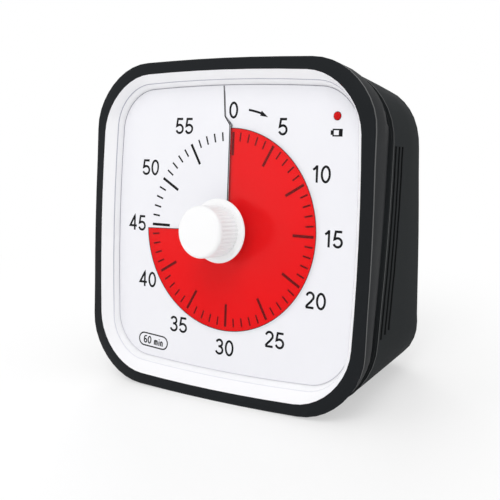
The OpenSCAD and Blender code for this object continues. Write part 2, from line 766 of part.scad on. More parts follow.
// Places of the two pins that hold the circuit board
module at_pins() {
    for (x = [board_x - board_w / 2 + pin_edge, led_x - led_pin])
        on_dial() translate([x, -board_rise, 0]) children();
}

// Axis of the indicator light
module at_led() {
    on_dial() translate([led_x, -led_rise, 0]) children();
}

// Green circuit board above the movement
module circuit_board() {
    color(board_green) difference() {
        on_dial() translate([board_x, -board_rise, board_y]) linear_extrude(board_t)
            square([board_w, board_h], center = true);
        at_pins() bar(pin_r + seat_gap, board_y - 1, board_y + board_t + 1);
    }
}

// Red indicator light, from the board through the bezel and the card
module led() {
    color(film_red) at_led() {
        translate([0, 0, dial_y - led_out]) cylinder(r1 = 0.75 * led_r, r2 = led_r, h = led_out);
        bar(led_r, dial_y, board_y);
        bar(led_body_r, board_y - led_body_t, board_y);
    }
}

// Black buzzer on the back of the board
module buzzer() {
    color(shell_black) on_dial() translate([board_x - buzzer_side, -board_rise, 0]) difference() {
        bar(buzzer_r, board_y + board_t, board_y + board_t + buzzer_t);
        bar(buzzer_r / 4, board_y + board_t + buzzer_t - 1, board_y + board_t + buzzer_t + 1);
    }
}

// Black battery door: hinge pins along its foot, grip ribs and a spring tongue at its top
module battery_door() {
    color(shell_black) on_back(door_drop_z) difference() {
        union() {
            translate([0, 0, door_t / 4]) block(door_w, door_h - door_t / 2, -door_t, 0);
            translate([0, 0, (door_h + latch_len) / 2 - 0.5]) block(latch_w, latch_len + 1, -door_t, 0);
            translate([0, -door_t / 2, (door_t - door_h) / 2]) rotate([0, 90, 0]) {
                cylinder(d = door_t, h = door_w, center = true);
                cylinder(r = hinge_r, h = door_w + 2 * hinge_len, center = true);
            }
            for (i = [0:grip_count - 1]) translate([0, 0, door_h / 2 - 2 - i * grip_pitch])
                block(latch_w - 2, grip_pitch / 2, -door_t / 2, grip_h);
        }
        for (x = [-1, 1]) translate([x * (latch_w + latch_slit_w) / 2, 0, (door_h - latch_slit_len) / 2])
            block(latch_slit_w, latch_slit_len + 0.01, -door_t - 1, 1);
    }
}

// One cell, with its cap towards +x for side = 1
module cell(side) {
    body_len = cell_len - nub_len;
    color(cell_blue) on_back(door_drop_z)
        translate([side * (pocket_w / 2 - contact_t), cell_r + cell_gap - pocket_d, side * (cell_r + cell_gap / 2)])
            rotate([0, -side * 90, 0]) {
                cylinder(r = nub_r, h = nub_len + 1);
                translate([0, 0, nub_len]) cylinder(r = cell_r, h = body_len);
            }
}

module battery_1() {
    cell(1);
}

module battery_2() {
    cell(-1);
}

// Places on the compartment's end walls, with z along the cells: side is the end of the cap
module at_contact(side, row) {
    on_back(door_drop_z)
        translate([side * pocket_w / 2, cell_r + cell_gap - pocket_d, row * (cell_r + cell_gap / 2)])
            rotate([0, -side * 90, 0]) children();
}

// Conical spring of round wire: rings of six points along two turns that narrow and rise
module coil_spring() {
    steps = 16 * spring_turns;
    rise = spring_len - 2 * spring_wire_r;
    loft([for (i = [0:steps])
        let (s = i / steps, a = 360 * spring_turns * s, r = lerp(spring_foot_r, spring_top_r, s))
        [for (k = [5:-1:0]) let (q = r + spring_wire_r * cos(60 * k))
            [q * cos(a), q * sin(a), spring_wire_r + rise * s + spring_wire_r * sin(60 * k)]]]);
}

module contact_springs() {
    color(steel) {
        at_contact(-1, 1) translate([0, 0, contact_t]) coil_spring();
        at_contact(1, -1) translate([0, 0, contact_t]) coil_spring();
    }
}

// Two separate contact plates at the left end
module contact_tabs() {
    color(steel) for (row = [-1, 1]) at_contact(-1, row)
        translate([-contact_w / 2, -contact_w / 2, 0]) cube([contact_w, contact_w, contact_t]);
}

// One plate at the right end that joins the two cells
module contact_bridge() {
    reach = 2 * cell_r + cell_gap + contact_w;
    color(steel) at_contact(1, 0) translate([-reach / 2, -contact_w / 2, 0]) cube([reach, contact_w, contact_t]);
}

// Switch body on the inside of the back, with the slider's channel
module switch_body() {
    color(movement_grey) on_back(switch_rise) difference() {
        block(switch_w, switch_h, -shell_wall - switch_d, -shell_wall);
        block(slider_w + 2 * slider_travel + 2 * loose_gap, slider_h + 2 * loose_gap,
            -shell_wall - channel_d, -shell_wall + 1);
    }
}

// Volume slider: its foot in the channel, its ridged top outside the back
module volume_slider() {
    ridge = slider_w / 5;
    color(shell_black) on_back(switch_rise) difference() {
        block(slider_w, slider_h, run_gap - shell_wall - channel_d, slider_out);
        for (x = [-1, 1]) translate([x * ridge, 0, 0]) block(ridge, slider_h + 1, slider_out - 0.4, slider_out + 1);
    }
}

// Four case screws, from the rear tubes into the bezel's posts
module case_screws() {
    color(steel) difference() {
        at_screws() {
            bar(screw_r, screw_tip_y, screw_seat_y + 0.5);
            bar(screw_head_r, screw_seat_y, screw_seat_y + screw_head_t);
        }
        at_screws() translate([0, 0, screw_seat_y + screw_head_t]) {
            cube([3.2, 0.7, 1.8], center = true);
            cube([0.7, 3.2, 1.8], center = true);
        }
    }
}

front_shell();
rear_shell();
bezel();
dial_card();
time_disc();
disc_hub();
knob();
spindle();
bush();
bush_nut();
movement_case();
movement_cover();
centre_wheel();
clutch_spring();
third_wheel();
motor_coil();
motor_stator();
circuit_board();
led();
buzzer();
battery_door();
battery_1();
battery_2();
contact_springs();
contact_tabs();
contact_bridge();
switch_body();
volume_slider();
case_screws();
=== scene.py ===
"""Looks of the visual countdown timer, built round its packed construction model.

Sizes are real millimetres in the dial's own frame: x to the right, z up the face, and depth
from the front frame's inner edge to the rear. place() puts such a point into the row frame.
"""

import json
from math import asin, atan2, ceil, copysign, cos, degrees, hypot, pi, radians, sin, tan, tanh

import bmesh
import bpy
from mathutils import Matrix, Vector
from mathutils.bvhtree import BVHTree
from mathutils.geometry import delaunay_2d_cdt

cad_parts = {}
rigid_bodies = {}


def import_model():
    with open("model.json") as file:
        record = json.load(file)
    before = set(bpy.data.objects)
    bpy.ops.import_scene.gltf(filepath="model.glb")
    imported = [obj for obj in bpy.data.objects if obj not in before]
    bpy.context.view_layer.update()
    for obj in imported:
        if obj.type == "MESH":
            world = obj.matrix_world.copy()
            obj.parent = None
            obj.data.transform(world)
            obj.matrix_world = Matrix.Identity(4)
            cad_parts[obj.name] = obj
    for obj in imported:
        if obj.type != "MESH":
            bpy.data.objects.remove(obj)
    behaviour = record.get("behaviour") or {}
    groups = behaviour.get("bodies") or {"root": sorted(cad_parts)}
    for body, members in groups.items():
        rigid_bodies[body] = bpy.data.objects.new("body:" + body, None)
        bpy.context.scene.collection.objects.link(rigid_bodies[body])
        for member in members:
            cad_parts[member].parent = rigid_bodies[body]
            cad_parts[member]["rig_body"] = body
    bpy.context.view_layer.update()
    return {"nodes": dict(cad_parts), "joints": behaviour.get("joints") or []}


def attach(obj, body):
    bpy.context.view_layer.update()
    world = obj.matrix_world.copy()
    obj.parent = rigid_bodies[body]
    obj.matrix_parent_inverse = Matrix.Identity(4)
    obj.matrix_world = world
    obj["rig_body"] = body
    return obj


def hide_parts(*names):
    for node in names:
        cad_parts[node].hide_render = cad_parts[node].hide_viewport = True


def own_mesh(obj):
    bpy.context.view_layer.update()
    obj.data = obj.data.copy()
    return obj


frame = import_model()

MM = 0.001

# The dial's frame, from the joint of the knob
TURN = next(joint for joint in frame["joints"] if joint["name"] == "knob_turn")
DIAL = Vector(TURN["pos_m"])
REARWARD = Vector(TURN["axis"]).normalized()
RIGHT = Vector((1, 0, 0))
UPWARD = RIGHT.cross(REARWARD)


def place(x, z, depth):
    """Point of the row frame, from millimetres in the dial's frame."""
    return DIAL + MM * (x * RIGHT + z * UPWARD + depth * REARWARD)


# ---- sizes
# Slopes are depth per height
DIAL_RISE = 50.4  # dial's centre above the frame's lower edge
MID_RISE = 0.4  # and above the frame's middle
NEAR = 0.05  # depths that differ by less are one ring of points
HALF_W = 48  # about half the shells' width, the unit of the masks below
FRAME_EDGE = 0.9  # depth of the front frame's outer edge
EDGE_ROUND = 1.1  # depth over which that edge is rounded
EDGE_REACH = 1.2  # and how far in from the outline
RIM_DEPTH = 11  # front rim of the rear body, halfway up
RIM_SLOPE = 0.075
GROOVE_W = 1  # from the front frame's band to that rim
BACK_DEPTH = 48.5
BACK_SLOPE = -tan(radians(7))

# Rings of the front frame's band: shares of its depth in the construction and in the looks,
# and their insets in the looks
BAND_STATIONS = (0.0, 0.08, 0.25, 0.48, 0.69, 0.86, 1.0)
BAND_DEPTHS = (0.0, 0.06, 0.22, 0.45, 0.66, 0.82, 0.925)
BAND_INSETS = (0.0, 0.06, 0.22, 0.65, 1.25, 1.85, 2.3)
BORDER_INSET = 3.2  # inside this inset the frame's border is the construction's
FLOOR_RING = 0.4  # ring cut round the groove's floor, in front of the rim
FLOOR_END = 0.8  # and its place in the looks

# Depths behind the construction's rim, and how much further back the looks have them: rim,
# both edges of each vent, and the back, which stays
SHIFT_STATIONS = (-99, 1.85, 2.4, 3.4, 5.1, 6.1, 7.8, 8.8, 30)
SHIFTS = (2.0, 2.0, 1.65, 2.05, 2.1, 2.5, 2.35, 2.75, 0)

# Growth of the outline over the construction's: sideways and upwards along the flats, and at
# the corners outwards, upwards, and outwards at the foot
SIDE_GAIN, TOP_GAIN = 0.63, 0.81
REAR_GAINS = (0.54, 0.95, 1.72)
FRONT_GAINS = (0.5, 0.1, 0.45)
CORNER_FROM, FLAT_FROM, GAIN_FADE = 0.45, 0.5, 0.3
RIM_GROWTH = 0.3  # share of the growth that the rear body has at its rim
OUTER_FROM, OUTER_FADE = 0.6, 0.2  # the rear body grows only outside this
FRONT_REACH, FRONT_FADE = 3.4, 2.4  # insets at which the frame's growth ends and fades
WALL_REACH, WALL_FADE = 9, 2.5  # and the same for what moves back with the rim
SCREW_X, SCREW_Z = 34, 24  # case screws, from the middle
SCREW_KEEP, SCREW_FADE = 4.5, 4  # round each of them nothing moves
TABLE_FADE = 8  # below this height, what moves back stays on its level
TABLE_GAP = 0.1

DIAL_W, DIAL_H, DIAL_R = 85.2, 84.8, 11.5  # card, with its corners' radius
SIDE_BOW = 1.7
DIAL_DEPTH = 5.5
LIP_W, LIP_H, LIP_R = 86.6, 87.8, 12.2  # bezel's lip
LIP_DEPTH = 3.5  # bottom of the fine step along it
LINE_T = 0.02  # grey lines of painted shade in that step and round the card
LINE_GAP = 0.02
CARD_T = 0.15
CARD_HOLE_R = 5.2
TURN_R = 30.8  # the card rises with the turn inside this radius
FLAT_R = 33.4  # and is flat outside this one
TURN_RISE = 0.8

DISC_R = 30
DISC_BORE = 3.25
FILM_T = 0.04
MINUTES_SHOWN = 44.7
DISC_KEEP = 0.05  # share of the disc's rise that is left when it lies wholly behind the card
DISC_ANCHOR = -0.72  # height at which it lies then
FILM_CLEARANCE = 0.08
FILM_EDGE_W = 0.2  # the rim with a band of painted shade along the film's cut edges

SLIT_GAP = 0.12
SLIT_EDGE_W = 0.32  # dark line of painted shadow along it
SLIT_EDGE_OFF = 0.02
SLIT_EDGE_STEPS = 120
SLIT = (  # radius and x
    (CARD_HOLE_R, -0.2), (TURN_R, -0.2), (FLAT_R, -2.35), (DIAL_H / 2, -3.05))

TICK_OUT = 28.8
MAJOR_IN, MAJOR_W = 22.0, 0.82  # inner ends and widths of the ticks
MINOR_IN, MINOR_W = 26.2, 0.52
ZERO_TICK_SHIFT = 0.35  # the zero and its tick stand clear of the slit
ZERO_SHIFT = 0.4
INK_T = 0.02
NUMERAL_R = 35.1
NUMERAL_H = 4.75
NUMERAL_WIDE = 1.09
STROKE = 0.68

VENT_COUNT = 3
VENT_START = 2.9  # middle of the first one, behind the construction's rim
VENT_PITCH = 2.7
VENT_STEP = 0.9  # each starts this much higher than the one before it
VENT_LOW = -27.0
VENT_HIGH = 26.3
OUTSIDE, BESIDE = 60, (-0.9, 0.9)  # where the wall beside a vent is felt for, from outside
CLOTH_W = 1.1
CLOTH_SINK = 0.15
CLOTH_T = 0.75

LED_X, LED_Z, LED_R = 34.7, 33.4, 1.1
LED_DOME, LED_OUT = 0.52, 0.1  # its height, and how far out of the card it starts
LED_FLANGE_R, LED_FLANGE = 1.6, (4.1, 5.5)  # flange, with its depths behind the card
SEAM_OFF, SEAM_W = 0.06, 0.14  # dark ring of painted shade in the gap round it

GRIP_R = 7.5
GRIP_FOOT = -0.4
FLANGE_R = 9.4
FLANGE_DEPTH = 0.1
KNOB_FRONT = -9.2
CAP_EDGE_R = 1
CAP_BAND = 0.4
RIBS = 40
RIB_DEPTH = 0.28
RIB_LEAD = 0.15
RIB_COLUMNS = 8  # points round each rib
RIB_SQUARE = 2.2  # the higher, the squarer the ribs
FLANGE_FRONT = ((0.7, 0), (0.4, 0.05), (0.1, 0.25))  # its rounding, as insets and depths
FLANGE_REAR = ((0, 0), (0.05, 0.3), (0.25, 0.55))
KNOB_BOSS_R = 5.4
KNOB_BACK = 3.9
KNOB_SHARP_DEG = 40


# ---- materials
def linear(colour):
    """Linear colour of an sRGB hex value."""
    parts = [int(colour[i : i + 2], 16) / 255 for i in (1, 3, 5)]
    return [c / 12.92 if c <= 0.04045 else ((c + 0.055) / 1.055) ** 2.4 for c in parts] + [1]


def add(tree, kind, inputs=None, **settings):
    """Add a shader node: settings are its own fields, inputs are values or sockets by name."""
    made = tree.nodes.new("ShaderNode" + kind)
    for name, value in settings.items():
        setattr(made, name, value)
    for name, value in (inputs or {}).items():
        if isinstance(value, bpy.types.NodeSocket):
            tree.links.new(value, made.inputs[name])
        else:
            made.inputs[name].default_value = value
    return made


def material(name, shade):
    """New material: shade(tree) adds its nodes and returns the shader's socket."""
    made = bpy.data.materials.new(name)
    made.use_nodes = True
    tree = made.node_tree
    tree.nodes.clear()
    add(tree, "OutputMaterial", {"Surface": shade(tree)})
    return made


def grain(tree, size_mm, detail=2.0):
    """Noise whose features are about size_mm across, in the object's own coordinates."""
    where = add(tree, "TexCoord").outputs["Object"]
    noise = {"Vector": where, "Scale": 0.5 / (size_mm * MM), "Detail": detail}
    return add(tree, "TexNoise", noise).outputs["Fac"]


def between(tree, factor, low, high):
    """Colour or value that runs from low to high with a factor from 0 to 1."""
    if isinstance(low, str):
        mix = add(tree, "Mix", {"Factor": factor}, data_type="RGBA")
        mix.inputs[6].default_value = linear(low)
        mix.inputs[7].default_value = linear(high)
        return mix.outputs[2]
    spread = add(tree, "MapRange", {"Value": factor, "To Min": low, "To Max": high})
    return spread.outputs["Result"]


WAVE_BANDS = 6.28  # bands of a wave texture to each unit of its scale


def moulded(name, dark, light, roughness, texture_mm, bump_mm, gloss=0.5):
    """Injection-moulded plastic: a fine spark-eroded skin, a little uneven in tone and gloss."""

    def shade(tree):
        clouds = grain(tree, 9)
        eroded = grain(tree, texture_mm, 3)
        bump = add(tree, "Bump", {"Height": eroded, "Distance": bump_mm * MM, "Strength": 1})
        return add(tree, "BsdfPrincipled", {
            "Base Color": between(tree, clouds, dark, light),
            "Roughness": between(tree, clouds, roughness - 0.05, roughness + 0.05),
            "IOR": 1.53,
            "Specular IOR Level": gloss,
            "Normal": bump.outputs["Normal"],
        }).outputs["BSDF"]

    return material(name, shade)


def dusty_step(name, foot, top):
    """Painted shade in a fine step of white plastic: grey, darkest at the top, and fading out near
    the foot.
    """

    def shade(tree):
        where = add(tree, "TexCoord").outputs["Object"]
        height = add(tree, "SeparateXYZ", {"Vector": where}).outputs["Z"]
        share = add(tree, "MapRange", {"Value": height, "From Min": 7 * MM, "From Max": 35 * MM})
        return add(tree, "BsdfPrincipled", {
            "Base Color": between(tree, share.outputs["Result"], foot, top),
            "Roughness": 0.7,
            "Specular IOR Level": 0.2,
        }).outputs["BSDF"]

    return material(name, shade)


def metal(name, dark, light, roughness, grain_mm):
    """Bare metal, rolled or turned: fine marks that vary its gloss."""

    def shade(tree):
        marks = grain(tree, grain_mm, 4)
        return add(tree, "BsdfPrincipled", {
            "Base Color": between(tree, marks, dark, light),
            "Metallic": 1,
            "Roughness": between(tree, marks, roughness - 0.08, roughness + 0.08),
        }).outputs["BSDF"]

    return material(name, shade)


def mottled(name, dark, light, grain_mm, inputs):
    """Even surface whose colour wanders a little."""

    def shade(tree):
        clouds = grain(tree, grain_mm)
        colour = between(tree, clouds, dark, light)
        return add(tree, "BsdfPrincipled", {"Base Color": colour, **inputs}).outputs["BSDF"]

    return material(name, shade)


def polyester_film(tree):
    """Red polyester film: clear enough to show the print below it, with a smooth gloss.

    Light from the lamps passes it untinted, so the card below stays as bright as beside it and
    the red comes from the one way out to the eye.
    """
    clouds = grain(tree, 14)
    film = add(tree, "BsdfPrincipled", {
        "Base Color": between(tree, clouds, "#dc202a", "#e42a34"),
        "Roughness": 0.2,
        "IOR": 1.6,
    }).outputs["BSDF"]
    clear = add(tree, "BsdfTransparent", {"Color": linear("#fb2a33")}).outputs["BSDF"]
    tinted = add(tree, "MixShader", {0: 0.92, 1: film, 2: clear}).outputs["Shader"]
    gloss = add(tree, "BsdfGlossy", {"Color": linear("#ffffff"), "Roughness": 0.2}).outputs["BSDF"]
    shine = add(tree, "Fresnel", {"IOR": 1.2}).outputs["Fac"]
    glazed = add(tree, "MixShader", {0: shine, 1: tinted, 2: gloss}).outputs["Shader"]
    open_way = add(tree, "BsdfTransparent", {"Color": linear("#ffffff")}).outputs["BSDF"]
    path = add(tree, "LightPath").outputs
    rays = {0: path["Is Shadow Ray"], 1: path["Is Diffuse Ray"]}
    light = add(tree, "Math", rays, operation="MAXIMUM").outputs["Value"]
    return add(tree, "MixShader", {0: light, 1: glazed, 2: open_way}).outputs["Shader"]


def printed_card(tree):
    """Coated card: white, matt, with a faint fibre in its surface."""
    clouds = grain(tree, 12)
    fibre = grain(tree, 0.25, 3)
    bump = add(tree, "Bump", {"Height": fibre, "Distance": 0.01 * MM, "Strength": 1})
    return add(tree, "BsdfPrincipled", {
        "Base Color": between(tree, clouds, "#e7e7ec", "#ececf0"),
        "Roughness": 0.55,
        "Normal": bump.outputs["Normal"],
    }).outputs["BSDF"]


def dust_cloth(tree):
    """Black woven cloth, painted shade for the depth of the side slots: its threads, half a
    millimetre apart, swallow nearly all light.
    """
    where = add(tree, "TexCoord").outputs["Object"]
    scale = 1 / (0.5 * MM) / WAVE_BANDS
    wave = add(tree, "TexWave", {"Vector": where, "Scale": scale}, bands_direction="Z")
    threads = wave.outputs["Fac"]
    bump = add(tree, "Bump", {"Height": threads, "Distance": 0.05 * MM, "Strength": 1})
    return add(tree, "BsdfPrincipled", {
        "Base Color": between(tree, threads, "#040405", "#0a0b0c"),
        "Roughness": 0.95,
        "Specular IOR Level": 0.05,
        "Normal": bump.outputs["Normal"],
    }).outputs["BSDF"]


def solder_mask(tree):
    """Green solder mask over the board: glossy, with the copper's tracks faintly lighter."""
    where = add(tree, "TexCoord").outputs["Object"]
    tracks = add(tree, "TexBrick", {
        "Vector": where,
        "Scale": 1 / (12 * MM),
        "Mortar Size": 0.012,
        "Brick Width": 0.5,
        "Row Height": 0.14,
    }, offset=0.35)
    colour = between(tree, tracks.outputs["Fac"], "#17582f", "#2b8049")
    return add(tree, "BsdfPrincipled", {
        "Base Color": colour, "Roughness": 0.3, "Coat Weight": 0.3,
    }).outputs["BSDF"]


def enamelled_wire(tree):
    """Copper wire wound in layers: the turns show as fine ridges along the coil."""
    where = add(tree, "TexCoord").outputs["Object"]
    turns = add(tree, "TexWave", {"Vector": where, "Scale": 1 / (3.2 * MM)}, bands_direction="X")
    ridge = turns.outputs["Fac"]
    bump = add(tree, "Bump", {"Height": ridge, "Distance": 0.08 * MM, "Strength": 1})
    return add(tree, "BsdfPrincipled", {
        "Base Color": between(tree, ridge, "#7a3517", "#c8743a"),
        "Metallic": 0.9,
        "Roughness": 0.35,
        "Normal": bump.outputs["Normal"],
    }).outputs["BSDF"]


def cell_jacket(tree):
    """Printed shrink sleeve of a dry cell: glossy, with a lighter band at one end."""
    where = add(tree, "TexCoord").outputs["Generated"]
    length = add(tree, "SeparateXYZ", {"Vector": where}).outputs["X"]
    band = add(tree, "Math", {0: length, 1: 0.72}, operation="GREATER_THAN").outputs["Value"]
    return add(tree, "BsdfPrincipled", {
        "Base Color": between(tree, band, "#2c4a78", "#b9bec6"),
        "Roughness": 0.28,
        "Coat Weight": 0.4,
    }).outputs["BSDF"]


FRAME_BLACK = moulded("moulded_black_frame", "#14171a", "#181b1e", 0.65, 0.3, 0.012, 0.14)
REAR_BLACK = moulded("moulded_black_rear", "#202324", "#25282a", 0.85, 0.35, 0.02, 0.1)
BEZEL_WHITE = moulded("moulded_white_bezel", "#f2f2f4", "#f7f7f9", 0.4, 0.5, 0.004)
# Painted highlight: a lighter, glossier black for edges that catch the light
EDGE_HIGHLIGHT = moulded("black_edge_painted_highlight", "#1c1f20", "#232627", 0.38, 0.3, 0.004, 0.48)
# Painted shade: grey line in the bezel's fine step, darker towards the top
STEP_SHADE = dusty_step("painted_shade_in_the_bezel_step", "#e6e6ec", "#b4b4c0")
# Painted shade: grey line where the card meets the bezel, darker towards the top
SEAM_SHADE = dusty_step("painted_shade_in_the_card_seam", "#d6d6de", "#9a9aa6")
KNOB_WHITE = moulded("moulded_white_knob", "#efeff0", "#f4f4f4", 0.42, 0.4, 0.004)
HUB_WHITE = moulded("moulded_white_hub", "#ededf0", "#f4f4f6", 0.5, 0.4, 0.004)
CASE_GREY = moulded("moulded_grey_case", "#84888e", "#92969b", 0.5, 0.4, 0.01)
PART_BLACK = moulded("moulded_black_part", "#141517", "#1b1c1e", 0.45, 0.3, 0.01)
STEEL = metal("rolled_steel", "#a9adb3", "#c8ccd1", 0.3, 0.3)
SCREW_STEEL = metal("zinc_plated_steel", "#b4b6b4", "#d0d1cc", 0.28, 0.2)
BRASS = metal("turned_brass", "#b08a3c", "#d9b667", 0.26, 0.25)
FILM_RED = material("red_polyester_film", polyester_film)
# Painted shade: a near-black band along the film's cut edges, where a thin shadow line falls
FILM_EDGE_SHADE = mottled("film_edge_painted_shade", "#1c0306", "#2a0508", 0.6, {
    "Roughness": 0.4, "Specular IOR Level": 0.3})
# Screen-printed ink: near black and nearly matt. It also draws the painted shade lines along the
# slit and round the light
INK_AND_SHADE = mottled("black_ink_and_painted_shade", "#08080b", "#101014", 0.4, {
    "Roughness": 0.6, "Specular IOR Level": 0.15})
CARD = material("coated_card", printed_card)
# Painted shade: black cloth in the side slots, standing in for their dark depth
SLOT_SHADE_CLOTH = material("black_cloth_painted_slot_shade", dust_cloth)
# Tinted epoxy of an indicator light: deep red with a sharp highlight
LENS_RED = mottled("red_epoxy_lens", "#b50a0b", "#d81214", 1.5, {
    "Roughness": 0.06, "IOR": 1.5, "Specular IOR Level": 0.1})
BOARD_GREEN = material("green_solder_mask", solder_mask)
COPPER_WIRE = material("enamelled_copper_wire", enamelled_wire)
CELL_SLEEVE = material("printed_cell_sleeve", cell_jacket)


# ---- meshes
WELD = 0.0005 * MM  # points nearer than this become one
SHARP_DEG = 30  # edges sharper than this stay crisp
FLAT_DEG = 0.5  # faces that turn less than this are joined


def finish_mesh(mesh, sharp_deg=SHARP_DEG):
    """Smooth faces, split at edges sharper than an angle."""
    mesh.polygons.foreach_set("use_smooth", [True] * len(mesh.polygons))
    mesh.set_sharp_from_angle(angle=radians(sharp_deg))
    mesh.update()


def add_object(name, data):
    """Object in the scene."""
    made = bpy.data.objects.new(name, data)
    bpy.context.scene.collection.objects.link(made)
    return made


def new_piece(name, mesh, finish, slot, stands_for=(), body="housing"):
    """Object with a finish that rides on a body."""
    made = add_object(name, mesh)
    mesh.materials.clear()
    mesh.materials.append(finish)
    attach(made, body)
    if stands_for:
        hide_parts(*stands_for)
    return made


def build_piece(name, points, faces, *settings, sharp_deg=SHARP_DEG):
    """New piece from points and faces, with its faces turned outwards."""
    mesh = bpy.data.meshes.new(name)
    mesh.from_pydata([tuple(p) for p in points], [], faces)
    edit = bmesh.new()
    edit.from_mesh(mesh)
    bmesh.ops.remove_doubles(edit, verts=edit.verts, dist=WELD)
    bmesh.ops.recalc_face_normals(edit, faces=edit.faces)
    edit.to_mesh(mesh)
    edit.free()
    finish_mesh(mesh, sharp_deg)
    return new_piece(name, mesh, *settings)


def skin(count, width, closed=False, wrapped=True):
    """Faces between rows of points: wrapped joins each row's ends, closed the outer rows."""
    faces = []
    for i in range(count if closed else count - 1):
        for j in range(width if wrapped else width - 1):
            a, b = i % count * width, (i + 1) % count * width
            k = (j + 1) % width
            faces.append((a + j, a + k, b + k, b + j))
    return faces


def turned_faces(rows, columns):
    """Faces of a turned body, from a row of points for each place of its profile."""
    ends = [range(columns)[::-1], range((rows - 1) * columns, rows * columns)]
    return skin(rows, columns) + [tuple(end) for end in ends]


def sheet_faces(rows, width):
    """Faces of a thin sheet: a grid of points for its front, then the same grid for its back."""
    shift = rows * width
    front = skin(rows, width, wrapped=False)
    back = [tuple(shift + k for k in reversed(f)) for f in front]
    loop = [i * width for i in range(rows)] + [(rows - 1) * width + j for j in range(1, width)]
    loop += [i * width + width - 1 for i in range(rows - 2, -1, -1)] + list(range(width - 2, 0, -1))
    walls = [(a, b, b + shift, a + shift) for a, b in zip(loop, loop[1:] + loop[:1])]
    return front + back + walls


def ease(share):
    """Share from 0 to 1, smoothed at both ends."""
    share = min(max(share, 0), 1)
    return share * share * (3 - 2 * share)


def along(value, stations, results):
    """Value read off a line through stations, level outside them."""
    for s0, s1, r0, r1 in zip(stations, stations[1:], results, results[1:]):
        if value <= s1:
            return r0 + (r1 - r0) * min(max((value - s0) / (s1 - s0), 0), 1)
    return results[-1]


def in_face(spot):
    """Place in the face's own frame: right and up from its middle, and back, in mm."""
    spot = (spot - DIAL) / MM
    return spot.dot(RIGHT), spot.dot(UPWARD) + MID_RISE, spot.dot(REARWARD)


def frame_edge():
    """Outer edge of the front frame in the construction, in turn."""
    spots = [in_face(v.co) for v in frame["nodes"]["front_shell"].data.vertices]
    ring = {(round(x, 3), round(z, 3)) for x, z, depth in spots if abs(depth - FRAME_EDGE) < NEAR}
    ring = sorted(ring, key=lambda p: atan2(p[1], p[0]))
    return [Vector(p) for p in ring]


EDGE = frame_edge()


def nearest_edge(x, z):
    """Nearest place on the frame's outer edge, and how far inside it a point lies."""
    spot = Vector((x, z))
    best = None
    for a, b in zip(EDGE, EDGE[1:] + EDGE[:1]):
        share = (spot - a).dot(b - a) / (b - a).length_squared
        near = a + (b - a) * min(max(share, 0), 1)
        gap = (spot - near).length
        if best is None or gap < best[1]:
            best = (near, gap)
    return best


def rim_depth(z):
    """Depth of the construction's rim at a height from the frame's middle."""
    return RIM_DEPTH + RIM_SLOPE * z


def rim_shift(behind):
    """How far the looks lie behind the construction, at a depth behind its rim."""
    return along(behind, SHIFT_STATIONS, SHIFTS)


def growth(x, z, flat_share, corner_share, gains):
    """Growth of a shell's outline sideways and upwards, with its shares of flats and corners."""
    u, v = abs(x) / HALF_W, abs(z) / HALF_W
    corner = ease((u - CORNER_FROM) / GAIN_FADE) * ease((v - CORNER_FROM) / GAIN_FADE)
    corner *= corner_share
    side = flat_share * SIDE_GAIN * ease((u - FLAT_FROM) / GAIN_FADE)
    top = flat_share * TOP_GAIN * ease((v - FLAT_FROM) / GAIN_FADE)
    corner_out, corner_up, foot_out = gains
    if z > 0:
        return copysign(side + corner * corner_out, x), top + corner * corner_up
    return copysign(side + corner * foot_out, x), 0


def slide(vertex, out, rise, back):
    """Moves a vertex in the face's frame, but never through the table."""
    height = vertex.co.z
    vertex.co += MM * (out * RIGHT + rise * UPWARD + back * REARWARD)
    if back:
        vertex.co.z += MM * -REARWARD.z * back * (1 - ease(height / (TABLE_FADE * MM)))
    vertex.co.z = max(vertex.co.z, min(height, TABLE_GAP * MM))


def shape_front(mesh):
    """Front shell: fuller corners, and a band that curves gently back to the rear body's rim."""
    rings = bmesh.new()
    rings.from_mesh(mesh)
    everything = rings.verts[:] + rings.edges[:] + rings.faces[:]
    floor = place(0, -MID_RISE, RIM_DEPTH - FLOOR_RING)
    across = (REARWARD - RIM_SLOPE * UPWARD).normalized()
    bmesh.ops.bisect_plane(rings, geom=everything, plane_co=floor, plane_no=across, dist=1e-6)
    rings.to_mesh(mesh)
    rings.free()
    for vertex in mesh.vertices:
        x, z, depth = in_face(vertex.co)
        rim = rim_depth(z)
        new_rim = rim + rim_shift(0)
        near, inset = nearest_edge(x, z)
        if inset > BORDER_INSET and depth < rim:
            continue
        corner_share = min((FRONT_REACH - inset) / FRONT_FADE, 1)
        out, rise = growth(x, z, 0, corner_share, FRONT_GAINS)
        share = (depth - FRAME_EDGE) / (rim - GROOVE_W - FRAME_EDGE)
        back = 0
        if 0.04 < share < 1.01:  # the band behind the rounded edge
            inward = (Vector((x, z)) - near).normalized()
            underside = ease(1.4 * inward.y)  # where the frame faces down, it keeps its insets
            step = (along(share, BAND_STATIONS, BAND_INSETS) - inset) * (1 - underside)
            out, rise = out + inward.x * step, rise + inward.y * step
            new_share = along(share, BAND_STATIONS, BAND_DEPTHS)
            back = FRAME_EDGE + (new_rim - FRAME_EDGE) * new_share - depth
        elif abs(depth - rim + FLOOR_RING) < NEAR:
            back = new_rim - FLOOR_END - depth
        elif depth > rim:
            back = rim_shift(0)
        slide(vertex, out, rise, back)


def polish(piece, chosen):
    """Gives the chosen faces of a black piece a lighter, glossier finish: a painted highlight along
    an edge.
    """
    piece.data.materials.append(EDGE_HIGHLIGHT)
    for face in piece.data.polygons:
        if chosen(piece.data, face):
            face.material_index = 1


def on_band_edge(mesh, face):
    """Whether a face lies on the front shell's rounded edge, between its border and band, where the
    painted highlight goes.
    """
    for x, z, depth in (in_face(mesh.vertices[i].co) for i in face.vertices):
        if not FRAME_EDGE - NEAR < depth < FRAME_EDGE + EDGE_ROUND:
            return False
        if nearest_edge(x, z)[1] >= EDGE_REACH:
            return False
    return True


